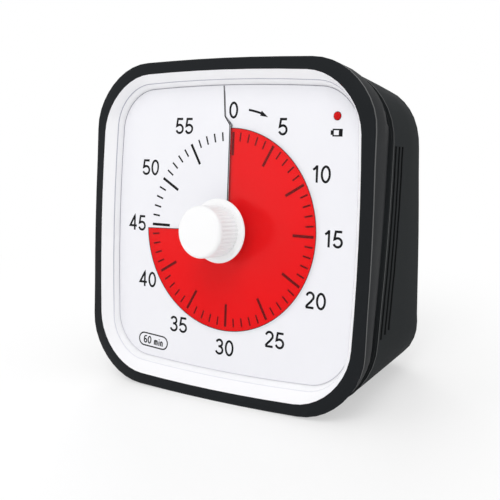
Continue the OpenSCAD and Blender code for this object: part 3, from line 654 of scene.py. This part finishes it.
def shape_rear(mesh):
    """Rear body: fuller corners, with the rim and the vents a little further back."""
    for vertex in mesh.vertices:
        x, z, depth = in_face(vertex.co)
        rim, back = rim_depth(z), BACK_DEPTH + BACK_SLOPE * z
        toward_back = ease((depth - rim) / (back - rim))
        screw_away = hypot(abs(x) - SCREW_X, abs(z) - SCREW_Z)
        edge = ease((max(abs(x), abs(z)) / HALF_W - OUTER_FROM) / OUTER_FADE)
        edge *= ease((screw_away - SCREW_KEEP) / SCREW_FADE)
        corner_share = edge * (RIM_GROWTH + (1 - RIM_GROWTH) * toward_back)
        out, rise = growth(x, z, edge * toward_back, corner_share, REAR_GAINS)
        wall = ease((WALL_REACH - nearest_edge(x, z)[1]) / WALL_FADE)
        shift = wall * rim_shift(depth - rim) + rise * BACK_SLOPE * toward_back
        slide(vertex, out, rise, shift)


def dress(node, finish, slot, reshape=None):
    """A construction piece with its own finish: welded, with its flat faces joined."""
    source = frame["nodes"][node]
    mesh = source.data.copy()
    mesh.name = node + "_skin"
    if "custom_normal" in mesh.attributes:
        mesh.attributes.remove(mesh.attributes["custom_normal"])
    edit = bmesh.new()
    edit.from_mesh(mesh)
    bmesh.ops.remove_doubles(edit, verts=edit.verts, dist=2 * WELD)
    bmesh.ops.dissolve_limit(
        edit, angle_limit=radians(FLAT_DEG), verts=edit.verts, edges=edit.edges,
        use_dissolve_boundaries=False)
    bmesh.ops.triangulate(edit, faces=[f for f in edit.faces if len(f.verts) > 4])
    edit.to_mesh(mesh)
    edit.free()
    if reshape:
        reshape(mesh)
    finish_mesh(mesh)
    return new_piece(node + "_dressed", mesh, finish, slot, [node], source["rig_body"])


# ---- dial card and disc
def polar(radius, angle):
    """Point of the dial at a radius, and an angle in degrees clockwise from the top."""
    return (radius * sin(radians(angle)), radius * cos(radians(angle)))


def slit_angle(radius):
    """Angle of the slit at a radius: straight over the scale, then leaning out to the left."""
    for (r0, x0), (r1, x1) in zip(SLIT, SLIT[1:]):
        if radius <= r1:
            break
    x = x0 + (x1 - x0) * max(radius - r0, 0) / (r1 - r0)
    return degrees(asin(x / radius))


def card_height(turned, radius):
    """Height of the card above the dial's mean plane, at a clockwise angle from the slit."""
    share = min(max((FLAT_R - radius) / (FLAT_R - TURN_R), 0), 1)
    return TURN_RISE * (turned / 360 - 0.5) * share


def outline(width, height, radius, bow, steps=24, side=14):
    """Points of a rounded rectangle whose sides bulge by bow, clockwise from the top's middle."""
    hw, hh = width / 2, height / 2
    rounds = []
    for q, (sx, sz) in enumerate(((1, 1), (1, -1), (-1, -1), (-1, 1))):
        turn = [radians(90 * (q + k / steps)) for k in range(steps + 1)]
        cx, cz = sx * (hw - radius), sz * (hh - radius)
        rounds.append([(cx + radius * sin(a), cz + radius * cos(a)) for a in turn])
    raw = []
    for before, after in zip(rounds, rounds[1:] + rounds[:1]):
        (x0, z0), (x1, z1) = before[-1], after[0]
        dx, dz = (x1 - x0) / (side + 1), (z1 - z0) / (side + 1)
        raw += before + [(x0 + dx * k, z0 + dz * k) for k in range(1, side + 1)]
    bow_x, bow_z = bow / hw, bow / hh
    return [(x * (1 - bow_x * (z / hh) ** 2), z * (1 - bow_z * (x / hw) ** 2)) for x, z in raw]


def reach(points, angle):
    """Distance from the centre to an outline, at a clockwise angle in degrees from the top."""
    ux, uz = sin(radians(angle)), cos(radians(angle))
    for (px, pz), (qx, qz) in zip(points, points[1:] + points[:1]):
        s, t = ux * pz - uz * px, ux * qz - uz * qx
        if s * t <= 0 and s != t and ux * (px + qx) + uz * (pz + qz) > 0:
            k = s / (s - t)
            return hypot(px + (qx - px) * k, pz + (qz - pz) * k)
    raise ValueError("the outline doesn't go round the centre")


def dial_card():
    """Card of the dial: one turn of a shallow helix, slit from its hole to its upper edge."""
    edge = outline(DIAL_W, DIAL_H, DIAL_R, SIDE_BOW)
    radii = [CARD_HOLE_R, 10, DISC_R / 2, 20, 25, 28, TURN_R, (TURN_R + FLAT_R) / 2, FLAT_R, 38]
    columns = 360
    grid = []
    for i in range(columns + 1):
        turned = 360 * i / columns
        rim_angle = slit_angle(SLIT[-1][0]) + turned
        rows = radii + [reach(edge, rim_angle)]
        column = []
        for radius in rows:
            gap = degrees(SLIT_GAP / radius) * (1 - 2 * i / columns)
            angle = (slit_angle(radius) if radius < rows[-1] else rim_angle - turned) + turned + gap
            column.append((*polar(radius, angle), card_height(turned, radius)))
        grid.append(column)
    points = [
        place(x, z, DIAL_DEPTH - h + sink)
        for sink in (0, CARD_T) for column in grid for x, z, h in column]
    faces = sheet_faces(len(grid), len(grid[0]))
    build_piece("dial_card_sheet", points, faces, CARD, "card_white", ["dial_card"])


def film_height(behind):
    """Height of the film at rest, at an angle behind its leading edge.

    With the knob at its upper limit the film lies just above the card all the way round.
    """
    lower, upper = TURN["range_deg"]
    share = upper / max(abs(lower), abs(upper))
    left = 1 - share * (1 - DISC_KEEP)
    furthest = 6 * MINUTES_SHOWN + upper  # place of the leading edge then
    lying = TURN_RISE * ((furthest - behind) / 360 - 0.5) + FILM_CLEARANCE
    return DISC_ANCHOR + (lying - DISC_ANCHOR) / left


def time_disc():
    """Red film disc, cut from rim to hub along its leading edge, where it comes over the card."""
    leading = 6 * MINUTES_SHOWN
    cut = 0.3
    columns = 240
    radii = [DISC_BORE, 6, 10, 15, 20, 25, 28, DISC_R - FILM_EDGE_W, DISC_R]
    points = []
    for sink in (0, FILM_T):
        for i in range(-1, columns + 1):
            for r in radii:
                behind = cut + (360 - 2 * cut) * max(i, 0) / columns
                behind += degrees(FILM_EDGE_W / r) * (i == 0)
                height = film_height(behind) - sink
                points.append(place(*polar(r, leading - behind), DIAL_DEPTH - height))
    faces = sheet_faces(columns + 2, len(radii))
    made = build_piece(
        "time_disc_film", points, faces, FILM_RED, "film_red", ["time_disc"], "dial_drive")
    made.data.materials.append(FILM_EDGE_SHADE)
    first = place(*polar(1, leading - cut), 0) - DIAL
    aside = first.cross(REARWARD).normalized()
    # Faces along the rim and the leading edge carry the painted shade
    for face in made.data.polygons:
        spot = face.center - DIAL
        near_cut = spot.dot(first) > 0 and abs(spot.dot(aside)) < FILM_EDGE_W * MM
        outer = spot.cross(REARWARD).length > (DISC_R - FILM_EDGE_W) * MM
        face.material_index = 1 if outer or near_cut else 0
    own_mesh(made)


# ---- print
def ribbon(points, width, closed=False):
    """Quads of a band of even width along a line of points."""
    count = len(points)
    sides = []
    for i, (x, z) in enumerate(points):
        before = points[i - 1] if i or closed else points[0]
        after = points[(i + 1) % count] if i < count - 1 or closed else points[-1]
        first = Vector((x - before[0], z - before[1]))
        second = Vector((after[0] - x, after[1] - z))
        first = first.normalized() if first.length > 1e-9 else second.normalized()
        second = second.normalized() if second.length > 1e-9 else first
        heading = (first + second).normalized()
        half = width / 2 / max(heading.dot(first), 0.5)
        out = Vector((-heading.y, heading.x)) * half
        sides.append(((x + out.x, z + out.y), (x - out.x, z - out.y)))
    pairs = zip(sides, sides[1:] + sides[:1] if closed else sides[1:])
    return [(a[0], a[1], b[1], b[0]) for a, b in pairs]


def in_steps(points, longest=0.5):
    """The same line with points at most a set distance apart, so that print follows the card."""
    line = [points[0]]
    for (x0, z0), (x1, z1) in zip(points, points[1:]):
        dx, dz = x1 - x0, z1 - z0
        count = max(ceil(hypot(dx, dz) / longest), 1)
        line += [(x0 + dx * k / count, z0 + dz * k / count) for k in range(1, count + 1)]
    return line


def arc(cx, cz, rx, rz, start, end, steps=14):
    """Points of an elliptical arc, with angles in degrees anticlockwise from the right."""
    turn = [radians(start + (end - start) * k / steps) for k in range(steps + 1)]
    return [(cx + rx * cos(a), cz + rz * sin(a)) for a in turn]


UPRIGHT = ("line", [(0.08, 0), (0.08, 0.6)])  # of a small letter
GLYPHS = {  # strokes of a numeral or a small letter, one unit high, and its width
    "0": ([("loop", arc(0.3, 0.5, 0.24, 0.445, 0, 345, 23))], 0.6),
    "1": ([
        ("line", [(0.1, 0.74), (0.22, 0.82), (0.33, 0.95)]),
        ("line", [(0.34, 1.0), (0.34, 0)]),
    ], 0.5),
    "2": ([
        ("line", arc(0.3, 0.71, 0.22, 0.235, 172, -28)
         + [(0.36, 0.42), (0.12, 0.17), (0.07, 0.055)]),
        ("line", [(0.05, 0.055), (0.54, 0.055)]),
    ], 0.6),
    "3": ([
        ("line", arc(0.28, 0.735, 0.2, 0.21, 165, -90) + [(0.22, 0.525)]),
        ("line", [(0.22, 0.525)] + arc(0.28, 0.29, 0.235, 0.235, 90, -165)),
    ], 0.6),
    "4": ([("line", [(0.41, 0), (0.41, 0.97), (0.05, 0.29), (0.57, 0.29)])], 0.62),
    "5": ([
        ("line", [(0.54, 0.945), (0.16, 0.945), (0.095, 0.5)]
         + arc(0.295, 0.315, 0.245, 0.26, 128, -160)),
    ], 0.62),
    "6": ([
        ("line", arc(0.36, 0.62, 0.27, 0.33, 62, 180) + [(0.09, 0.4)]),
        ("loop", arc(0.305, 0.29, 0.215, 0.24, 0, 345, 23)),
    ], 0.6),
    "m": ([
        UPRIGHT,
        ("line", arc(0.2, 0.4, 0.12, 0.2, 180, 0) + [(0.32, 0)]),
        ("line", arc(0.44, 0.4, 0.12, 0.2, 180, 0) + [(0.56, 0)]),
    ], 0.68),
    "i": ([UPRIGHT, ("line", [(0.08, 0.76), (0.08, 0.88)])], 0.18),
    "n": ([UPRIGHT, ("line", arc(0.22, 0.4, 0.14, 0.2, 180, 0) + [(0.36, 0)])], 0.46),
    " ": ([], 0.3),
}


def lettering(text, height, x, z, stroke, spacing=0.08, tilt=0, wide=1.0):
    """Shapes of each character in a line, centred on a point of the dial."""
    total = sum(GLYPHS[c][1] + spacing for c in text) - spacing
    turn = Matrix.Rotation(radians(tilt), 2)
    signs = []
    pen = -total / 2
    for character in text:
        strokes, width = GLYPHS[character]
        quads = []
        for kind, points in strokes:
            scaled = [((px + pen) * height * wide, (pz - 0.5) * height) for px, pz in points]
            quads += ribbon(in_steps(scaled), stroke, kind == "loop")
        pen += width + spacing
        signs.append([[tuple(turn @ Vector(p) + Vector((x, z))) for p in quad] for quad in quads])
    return [sign for sign in signs if sign]


def spoke(minute, inner, outer, width, shift=0.0):
    """Quads of a tick mark at a minute of the dial, moved sideways by shift."""
    (x0, z0), (x1, z1), (dx, dz) = (polar(r, 6 * minute) for r in (inner, outer, shift))
    return ribbon(in_steps([(x0 + dz, z0 - dx), (x1 + dz, z1 - dx)], 1.5), width)


def slit_edge():
    """Painted shadow: a dark inked line along the slit's left side, where the gap's shade falls."""
    path = []
    inner, outer = SLIT[0][0], SLIT[-1][0] - 0.1
    for k in range(SLIT_EDGE_STEPS + 1):
        radius = inner + (outer - inner) * k / SLIT_EDGE_STEPS
        x, z = polar(radius, slit_angle(radius))
        path.append((x - SLIT_GAP - SLIT_EDGE_W / 2 - SLIT_EDGE_OFF, z))
    return ribbon(path, SLIT_EDGE_W)


def inked(spot, quads):
    """True where a point lies in one of the flat shapes; what they only enclose stays bare."""
    for quad in quads:
        inside = False
        for (x0, z0), (x1, z1) in zip(quad, quad[1:] + quad[:1]):
            if (z0 > spot.y) != (z1 > spot.y):
                inside ^= spot.x < x0 + (x1 - x0) * (spot.y - z0) / (z1 - z0)
        if inside:
            return True
    return False


def printed(name, signs):
    """Layer of ink on the card's surface, for print and for painted shade lines: each sign is the
    union of its flat shapes.
    """
    flat, top = [], []
    for quads in signs:
        points, faces = [], []
        for quad in quads:
            faces.append(list(range(len(points), len(points) + len(quad))))
            points += [Vector(p) for p in quad]
        spots, _, tiles, _, _, _ = delaunay_2d_cdt(points, [], faces, 0, 1e-5)
        middles = [sum((spots[k] for k in t), Vector((0, 0))) / len(t) for t in tiles]
        tiles = [t for t, middle in zip(tiles, middles) if inked(middle, quads)]
        top += [tuple(len(flat) + k for k in t) for t in tiles]
        flat += spots
    count = len(flat)

    def height(p):
        turned = degrees(atan2(p.x, p.y)) - slit_angle(p.length)
        return card_height(turned % 360, p.length)

    solid = [
        place(p.x, p.y, DIAL_DEPTH - height(p) - lift)
        for lift in (INK_T, -0.5 * INK_T) for p in flat]
    used = {}
    for t in top:
        for a, b in zip(t, t[1:] + t[:1]):
            used[(a, b)] = used.get((a, b), 0) + 1
    walls = [(a, b, b + count, a + count) for a, b in used if (b, a) not in used]
    bottom = [tuple(count + k for k in reversed(t)) for t in top]
    build_piece(name, solid, top + bottom + walls, INK_AND_SHADE, "card_white")


def arrow():
    """Slim arrow beside the zero, bent along the scale, that shows which way to set the time."""
    first, last, head = 9.3, 20.6, 4.4  # degrees from the top, and the length of the head
    radius, shaft_w, head_w, droop = 35.6, 0.62, 1.5, 0.3
    shaft = [polar(radius, first + (last - head - first) * k / 6) for k in range(8)]
    tip = polar(radius - droop, last)
    sides = [polar(radius + s * head_w / 2, last - head) for s in (1, -1)]
    return ribbon(shaft, shaft_w) + [(sides[0], tip, sides[1])]


def box_quads(x0, z0, x1, z1):
    """Rectangle between two corners."""
    return [((x0, z0), (x1, z0), (x1, z1), (x0, z1))]


def battery_mark():
    """Small battery sign below the light: outline, pole and a filled end."""
    cx, cz, wide, high, line = LED_X + 0.25, 28.9, 3.1, 2.1, 0.4
    charge, pole, pole_half, lap = 1.15, 0.55, 0.62, 0.02
    x0, x1, z0, z1 = cx - wide / 2, cx + wide / 2, cz - high / 2, cz + high / 2
    quads = box_quads(x0, z0, x1, z0 + line) + box_quads(x0, z1 - line, x1, z1)
    quads += box_quads(x0, z0, x0 + line, z1) + box_quads(x1 - charge, z0, x1, z1)
    return quads + box_quads(x0 - pole, cz - pole_half, x0 + lap, cz + pole_half)


def pill():
    """Outlined pill at the foot of the card, with the full scale in small letters."""
    cx, cz, wide, high, line, tilt = -27.5, -36.9, 11.4, 4.0, 0.42, -3.5
    text_h, spacing = 2.35, 0.1
    half, radius = (wide - high) / 2, high / 2
    ends = arc(half, 0, radius, radius, -90, 90) + arc(-half, 0, radius, radius, 90, 270)
    turn = Matrix.Rotation(radians(tilt), 2)
    line_points = [tuple(turn @ Vector(p) + Vector((cx, cz))) for p in ends]
    text = lettering("60 min", text_h, cx, cz, line, spacing, tilt)
    return [ribbon(line_points, line, True)] + text


def print_dial():
    """Scale, numerals, arrow, battery mark, the pill that names the full scale, and lines of
    painted shade along the slit and round the light.
    """
    ticks, numerals = [], []
    for minute in range(60):
        inner, width = (MINOR_IN, MINOR_W) if minute % 5 else (MAJOR_IN, MAJOR_W)
        shift = 0 if minute else ZERO_TICK_SHIFT
        ticks.append(spoke(minute, inner, TICK_OUT, width, shift))
    printed("scale_print", ticks)
    for minute in range(0, 60, 5):
        x, z = polar(NUMERAL_R, 6 * minute)
        x += 0 if minute else ZERO_SHIFT
        numerals += lettering(str(minute), NUMERAL_H, x, z, STROKE, wide=NUMERAL_WIDE)
    printed("numeral_print", numerals)
    # Painted shadow along the slit
    printed("slit_painted_shadow_line", [slit_edge()])
    printed("arrow_print", [arrow()])
    printed("battery_print", [battery_mark()])
    printed("pill_print", pill())
    # Painted shade: a dark inked ring in the gap round the light
    seam_r = LED_R + SEAM_OFF
    seam = arc(LED_X, LED_Z, seam_r, seam_r, 0, 345, 24)
    printed("light_gap_painted_shade", [ribbon(seam, SEAM_W, True)])


def rim_line(name, width, height, radius, line_w, front, back, finish, slot):
    """Thin grey line on the wall of a fine step round the card: painted shade."""
    outer = outline(width, height, radius, SIDE_BOW)
    inner = outline(width - 2 * line_w, height - 2 * line_w, radius - line_w, SIDE_BOW)
    rings = ((outer, front), (inner, back), (outer, front + LINE_T), (inner, back + LINE_T))
    points = [place(x, z, depth) for ring, depth in rings for x, z in ring]
    n = len(outer)
    faces = []
    for j in range(n):
        k = (j + 1) % n
        faces += [(j, k, n + k, n + j), (2 * n + j, 3 * n + j, 3 * n + k, 2 * n + k)]
        faces += [(j, 2 * n + j, 2 * n + k, k), (n + j, n + k, 3 * n + k, 3 * n + j)]
    build_piece(name, points, faces, finish, slot)


print_dial()
dial_card()
time_disc()
# Grey lines of painted shade in the bezel's step and round the card
rim_line("bezel_lip_shade_line", LIP_W - LINE_GAP, LIP_H - LINE_GAP, LIP_R, 0.2,
         LIP_DEPTH - 0.28, LIP_DEPTH - 0.03, STEP_SHADE, "bezel_white")
rim_line("card_edge_shade_line", DIAL_W - LINE_GAP, DIAL_H - LINE_GAP, DIAL_R, 0.1,
         DIAL_DEPTH - 0.12, DIAL_DEPTH - 0.02, SEAM_SHADE, "card_white")


# ---- knob
def knob():
    """Knob: rounded cap, ribbed grip and a flange whose underside narrows to the hub."""
    profile = []  # radius, depth, and 1 where the ribs are
    for k in range(9):
        a = radians(90 * (1 - k / 8))
        radius = GRIP_R - CAP_EDGE_R * (1 - cos(a))
        profile.append((radius, KNOB_FRONT + CAP_EDGE_R * (1 - sin(a)), 0))
    rib_front = KNOB_FRONT + CAP_EDGE_R + CAP_BAND
    profile += [(GRIP_R, rib_front, 0), (GRIP_R, rib_front + RIB_LEAD, 1)]
    profile += [(GRIP_R, rib_front + (GRIP_FOOT - rib_front) * k / 4, 1) for k in range(1, 5)]
    profile += [(FLANGE_R - inset, GRIP_FOOT + back, 0) for inset, back in FLANGE_FRONT]
    profile += [(FLANGE_R - inset, FLANGE_DEPTH + back, 0) for inset, back in FLANGE_REAR]
    profile.append((KNOB_BOSS_R, KNOB_BACK, 0))
    columns = RIBS * RIB_COLUMNS
    points = []
    for radius, depth, ribbed in profile:
        for i in range(columns):
            wave = tanh(RIB_SQUARE * cos(2 * pi * i / RIB_COLUMNS))
            groove = RIB_DEPTH * ribbed * (0.5 - 0.5 * wave / tanh(RIB_SQUARE))
            a = 2 * pi * i / columns
            r = radius - groove
            points.append(place(r * sin(a), r * cos(a), depth))
    faces = turned_faces(len(profile), columns)
    build_piece("knob_grip", points, faces, KNOB_WHITE, "knob_white", ["knob"], "dial_drive",
                sharp_deg=KNOB_SHARP_DEG)


knob()


# ---- light
def lens():
    """Indicator light: a domed lens that stands a little out of the card, and its flange behind."""
    foot = DIAL_DEPTH - LED_OUT
    profile = [(0.001, foot - LED_DOME)]
    for k in range(1, 10):
        a = radians(10 * k)
        profile.append((LED_R * sin(a), foot - LED_DOME * cos(a)))
    front, rear = (DIAL_DEPTH + depth for depth in LED_FLANGE)
    profile += [(LED_R, front - LED_OUT), (LED_FLANGE_R, front), (LED_FLANGE_R, rear)]
    columns = 40
    points = []
    for radius, depth in profile:
        for i in range(columns):
            a = 2 * pi * i / columns
            points.append(place(LED_X + radius * cos(a), LED_Z + radius * sin(a), depth))
    faces = turned_faces(len(profile), columns)
    build_piece("led_lens", points, faces, LENS_RED, "light_red", ["led"])


lens()

# ---- construction pieces
FINISHES = (  # finish, slot, and the construction pieces that have them
    (BEZEL_WHITE, "bezel_white", "bezel"),
    (HUB_WHITE, "hub_white", "disc_hub"),
    (STEEL, "steel",
     "spindle clutch_spring motor_stator contact_springs contact_tabs contact_bridge"),
    (BRASS, "brass", "bush bush_nut centre_wheel third_wheel"),
    (CASE_GREY, "movement_grey", "movement_case movement_cover switch_body"),
    (COPPER_WIRE, "copper_wire", "motor_coil"),
    (BOARD_GREEN, "board_green", "circuit_board"),
    (PART_BLACK, "part_black", "buzzer volume_slider"),
    (REAR_BLACK, "rear_black", "battery_door"),
    (CELL_SLEEVE, "cell_jacket", "battery_1 battery_2"),
    (SCREW_STEEL, "screw_steel", "case_screws"),
)
for finish, slot, nodes in FINISHES:
    for node in nodes.split():
        dress(node, finish, slot)
front_body = dress("front_shell", FRAME_BLACK, "frame_black", reshape=shape_front)
# Painted highlight along the front frame's rounded edge
polish(front_body, on_band_edge)
rear_body = dress("rear_shell", REAR_BLACK, "rear_black", reshape=shape_rear)


# ---- rim of the rear body
RIM_OUTER, RIM_INNER = 2.2, 4  # insets that the rim's outer edge and inner edge stay within
COVE = (  # share of the way from the rim's outer edge to its inner one, and mm back and out
    (0.0, 0.4, 0.06), (0.0, 0.1, 0.03), (0.09, -0.03, 0), (0.25, -0.07, 0), (0.5, -0.2, 0),
    (0.75, -0.42, 0), (0.97, -0.75, 0), (0.97, 0.1, 0), (0.3, 0.4, 0))
COVE_HIGHLIT = 3  # of those places, from the outer edge, the ones with the painted highlight


def rim_cove(shell):
    """Hollow curve from the groove's floor out to the rim, whose rounded edge catches the light and
    carries a painted highlight too.
    """
    spots = {}
    for vertex in shell.vertices:
        x, z, depth = in_face(vertex.co)
        if abs(depth - rim_depth(z) - rim_shift(0)) < 3 * NEAR:
            inset = nearest_edge(x, z)[1]
            if inset < RIM_INNER:
                spots.setdefault(inset < RIM_OUTER, []).append((atan2(z, x), vertex.co.copy()))
    outer, inner = (
        [spot for _, spot in sorted(spots[outside], key=lambda item: item[0])]
        for outside in (True, False))
    points = []
    for edge_spot, mouth_spot in zip(outer, inner):
        outward = (edge_spot - mouth_spot).normalized()
        for share, back, out in COVE:
            spot = edge_spot.lerp(mouth_spot, share) + MM * (back * REARWARD + out * outward)
            points.append(Vector((spot.x, spot.y, max(spot.z, 0))))
    width = len(COVE)
    faces = skin(len(outer), width, closed=True)
    piece = build_piece("rim_cove", points, faces, REAR_BLACK, "rear_black")
    # Painted highlight on the cove's outer faces
    polish(piece, lambda _, face: all(i % width < COVE_HIGHLIT for i in face.vertices))


rim_cove(rear_body.data)


# ---- side vents
def vent_cloth(shell):
    """Black cloth just inside each side slot, painted shade that stands in for their depth, so that
    the slots read as deep black lines.
    """
    faces = [f.vertices for f in shell.polygons]
    tree = BVHTree.FromPolygons([v.co for v in shell.vertices], faces)
    front, rear = CLOTH_SINK, CLOTH_SINK + CLOTH_T
    section = ((front, -0.5), (front, 0.5), (rear, 0.5), (rear, -0.5))
    stations = 16
    for side, hand in ((-1, "left"), (1, "right")):
        for i in range(VENT_COUNT):
            low = VENT_LOW + VENT_STEP * i
            behind = VENT_START + VENT_PITCH * i
            points = []
            for k in range(stations + 1):
                up = low + (VENT_HIGH - low) * k / stations
                depth = RIM_DEPTH + behind + rim_shift(behind) + RIM_SLOPE * up
                height = up - MID_RISE
                starts = [place(side * OUTSIDE, height, depth + aside) for aside in BESIDE]
                spots = [tree.ray_cast(start, -side * RIGHT)[0] for start in starts]
                skin_x = (spots[0] + spots[1]).dot(RIGHT) / 2 / MM
                points += [
                    place(skin_x - side * inward, height, depth + aside * CLOTH_W)
                    for inward, aside in section]
            ends = [(0, 1, 2, 3), tuple(4 * stations + j for j in (3, 2, 1, 0))]
            faces = skin(stations + 1, 4) + ends
            name = f"vent_cloth_{hand}_{i + 1}"
            build_piece(name, points, faces, SLOT_SHADE_CLOTH, "part_black")


vent_cloth(rear_body.data)


# ---- camera, floor and light
# Degrees from straight before the dial, and millimetres
YAW = 33.769
PITCH = 5.301
ROLL = 2.125
DISTANCE = 253.43
AIM = (11.588, 45.81 - DIAL_RISE, 0)
FOCAL = 64.458
SENSOR = 36
LAMP_AIM = (0, 0, 0.05)
LAMPS = (  # name, place in metres, width in metres, watts
    ("key", (0.4, -1.0, 1.45), 0.9, 9.2),
    ("fill", (-1.3, -1.4, 0.6), 1.0, 3.5),
    ("rear", (-0.9, 1.3, 1.1), 0.9, 10),
)


def add_camera():
    """Camera at the photograph's viewing angle, worked out in the dial's frame."""
    yaw, pitch, roll = (radians(v) for v in (YAW, PITCH, ROLL))
    back = sin(yaw) * cos(pitch) * RIGHT - cos(yaw) * cos(pitch) * REARWARD
    back += sin(pitch) * UPWARD
    right = UPWARD.cross(back).normalized()
    up = back.cross(right)
    image_right = cos(roll) * right + sin(roll) * up
    image_up = cos(roll) * up - sin(roll) * right
    data = bpy.data.cameras.new("camera")
    data.lens = FOCAL
    data.sensor_width = SENSOR
    data.clip_start = 0.01
    camera = add_object("camera", data)
    turned = Matrix((image_right, image_up, back)).transposed().to_4x4()
    camera.matrix_world = Matrix.Translation(place(*AIM) + DISTANCE * MM * back) @ turned
    bpy.context.scene.camera = camera


def add_lamps():
    """Soft boxes that point at the middle of the timer."""
    for name, position, size, power in LAMPS:
        data = bpy.data.lights.new(name, "AREA")
        data.shape = "SQUARE"
        data.size = size
        data.energy = power
        lamp = add_object(name, data)
        lamp.location = position
        away = Vector(LAMP_AIM) - Vector(position)
        lamp.rotation_euler = away.to_track_quat("-Z", "Y").to_euler()


def add_floor():
    """Pale floor that looks white away from the object's shadow, but not to the light."""

    def shade(tree):
        where = add(tree, "TexCoord").outputs["Object"]
        away = add(tree, "VectorMath", {0: where}, operation="LENGTH").outputs["Value"]
        far = add(tree, "MapRange", {
            "Value": away, "From Min": 60 * MM, "From Max": 220 * MM, "To Min": 0.5,
        }, interpolation_type="SMOOTHSTEP").outputs["Result"]
        path = add(tree, "LightPath").outputs
        seen = path["Is Camera Ray"]
        for ray in ("Is Transmission Ray", "Is Glossy Ray"):
            seen = add(tree, "Math", {0: seen, 1: path[ray]}, operation="MAXIMUM").outputs[0]
        share = add(tree, "Math", {0: far, 1: seen}, operation="MULTIPLY").outputs["Value"]
        paper = add(tree, "BsdfDiffuse", {"Color": linear("#f6f6f6")}).outputs["BSDF"]
        white = add(tree, "Emission", {"Color": linear("#ffffff"), "Strength": 1}).outputs[0]
        return add(tree, "MixShader", {0: share, 1: paper, 2: white}).outputs["Shader"]

    size = 3  # metres from the middle
    mesh = bpy.data.meshes.new("floor")
    corner_spots = [(size * x, size * y, 0) for x, y in ((-1, -1), (1, -1), (1, 1), (-1, 1))]
    mesh.from_pydata(corner_spots, [], [(0, 1, 2, 3)])
    floor = add_object("floor", mesh)
    mesh.materials.append(material("pale_floor", shade))


def add_world():
    """Even white surroundings: full white to the camera, softer as light and in reflections."""
    world = bpy.data.worlds.new("surroundings")
    bpy.context.scene.world = world
    world.use_nodes = True
    tree = world.node_tree
    tree.nodes.clear()
    seen = add(tree, "LightPath").outputs["Is Camera Ray"]
    soft = add(tree, "Background", {"Color": linear("#ffffff"), "Strength": 0.75})
    white = add(tree, "Background", {"Color": linear("#ffffff"), "Strength": 1})
    mix = add(tree, "MixShader", {0: seen, 1: soft.outputs[0], 2: white.outputs[0]})
    add(tree, "OutputWorld", {"Surface": mix.outputs[0]})


add_camera()
add_floor()
add_world()
add_lamps()
bpy.context.scene.view_settings.view_transform = "Standard"
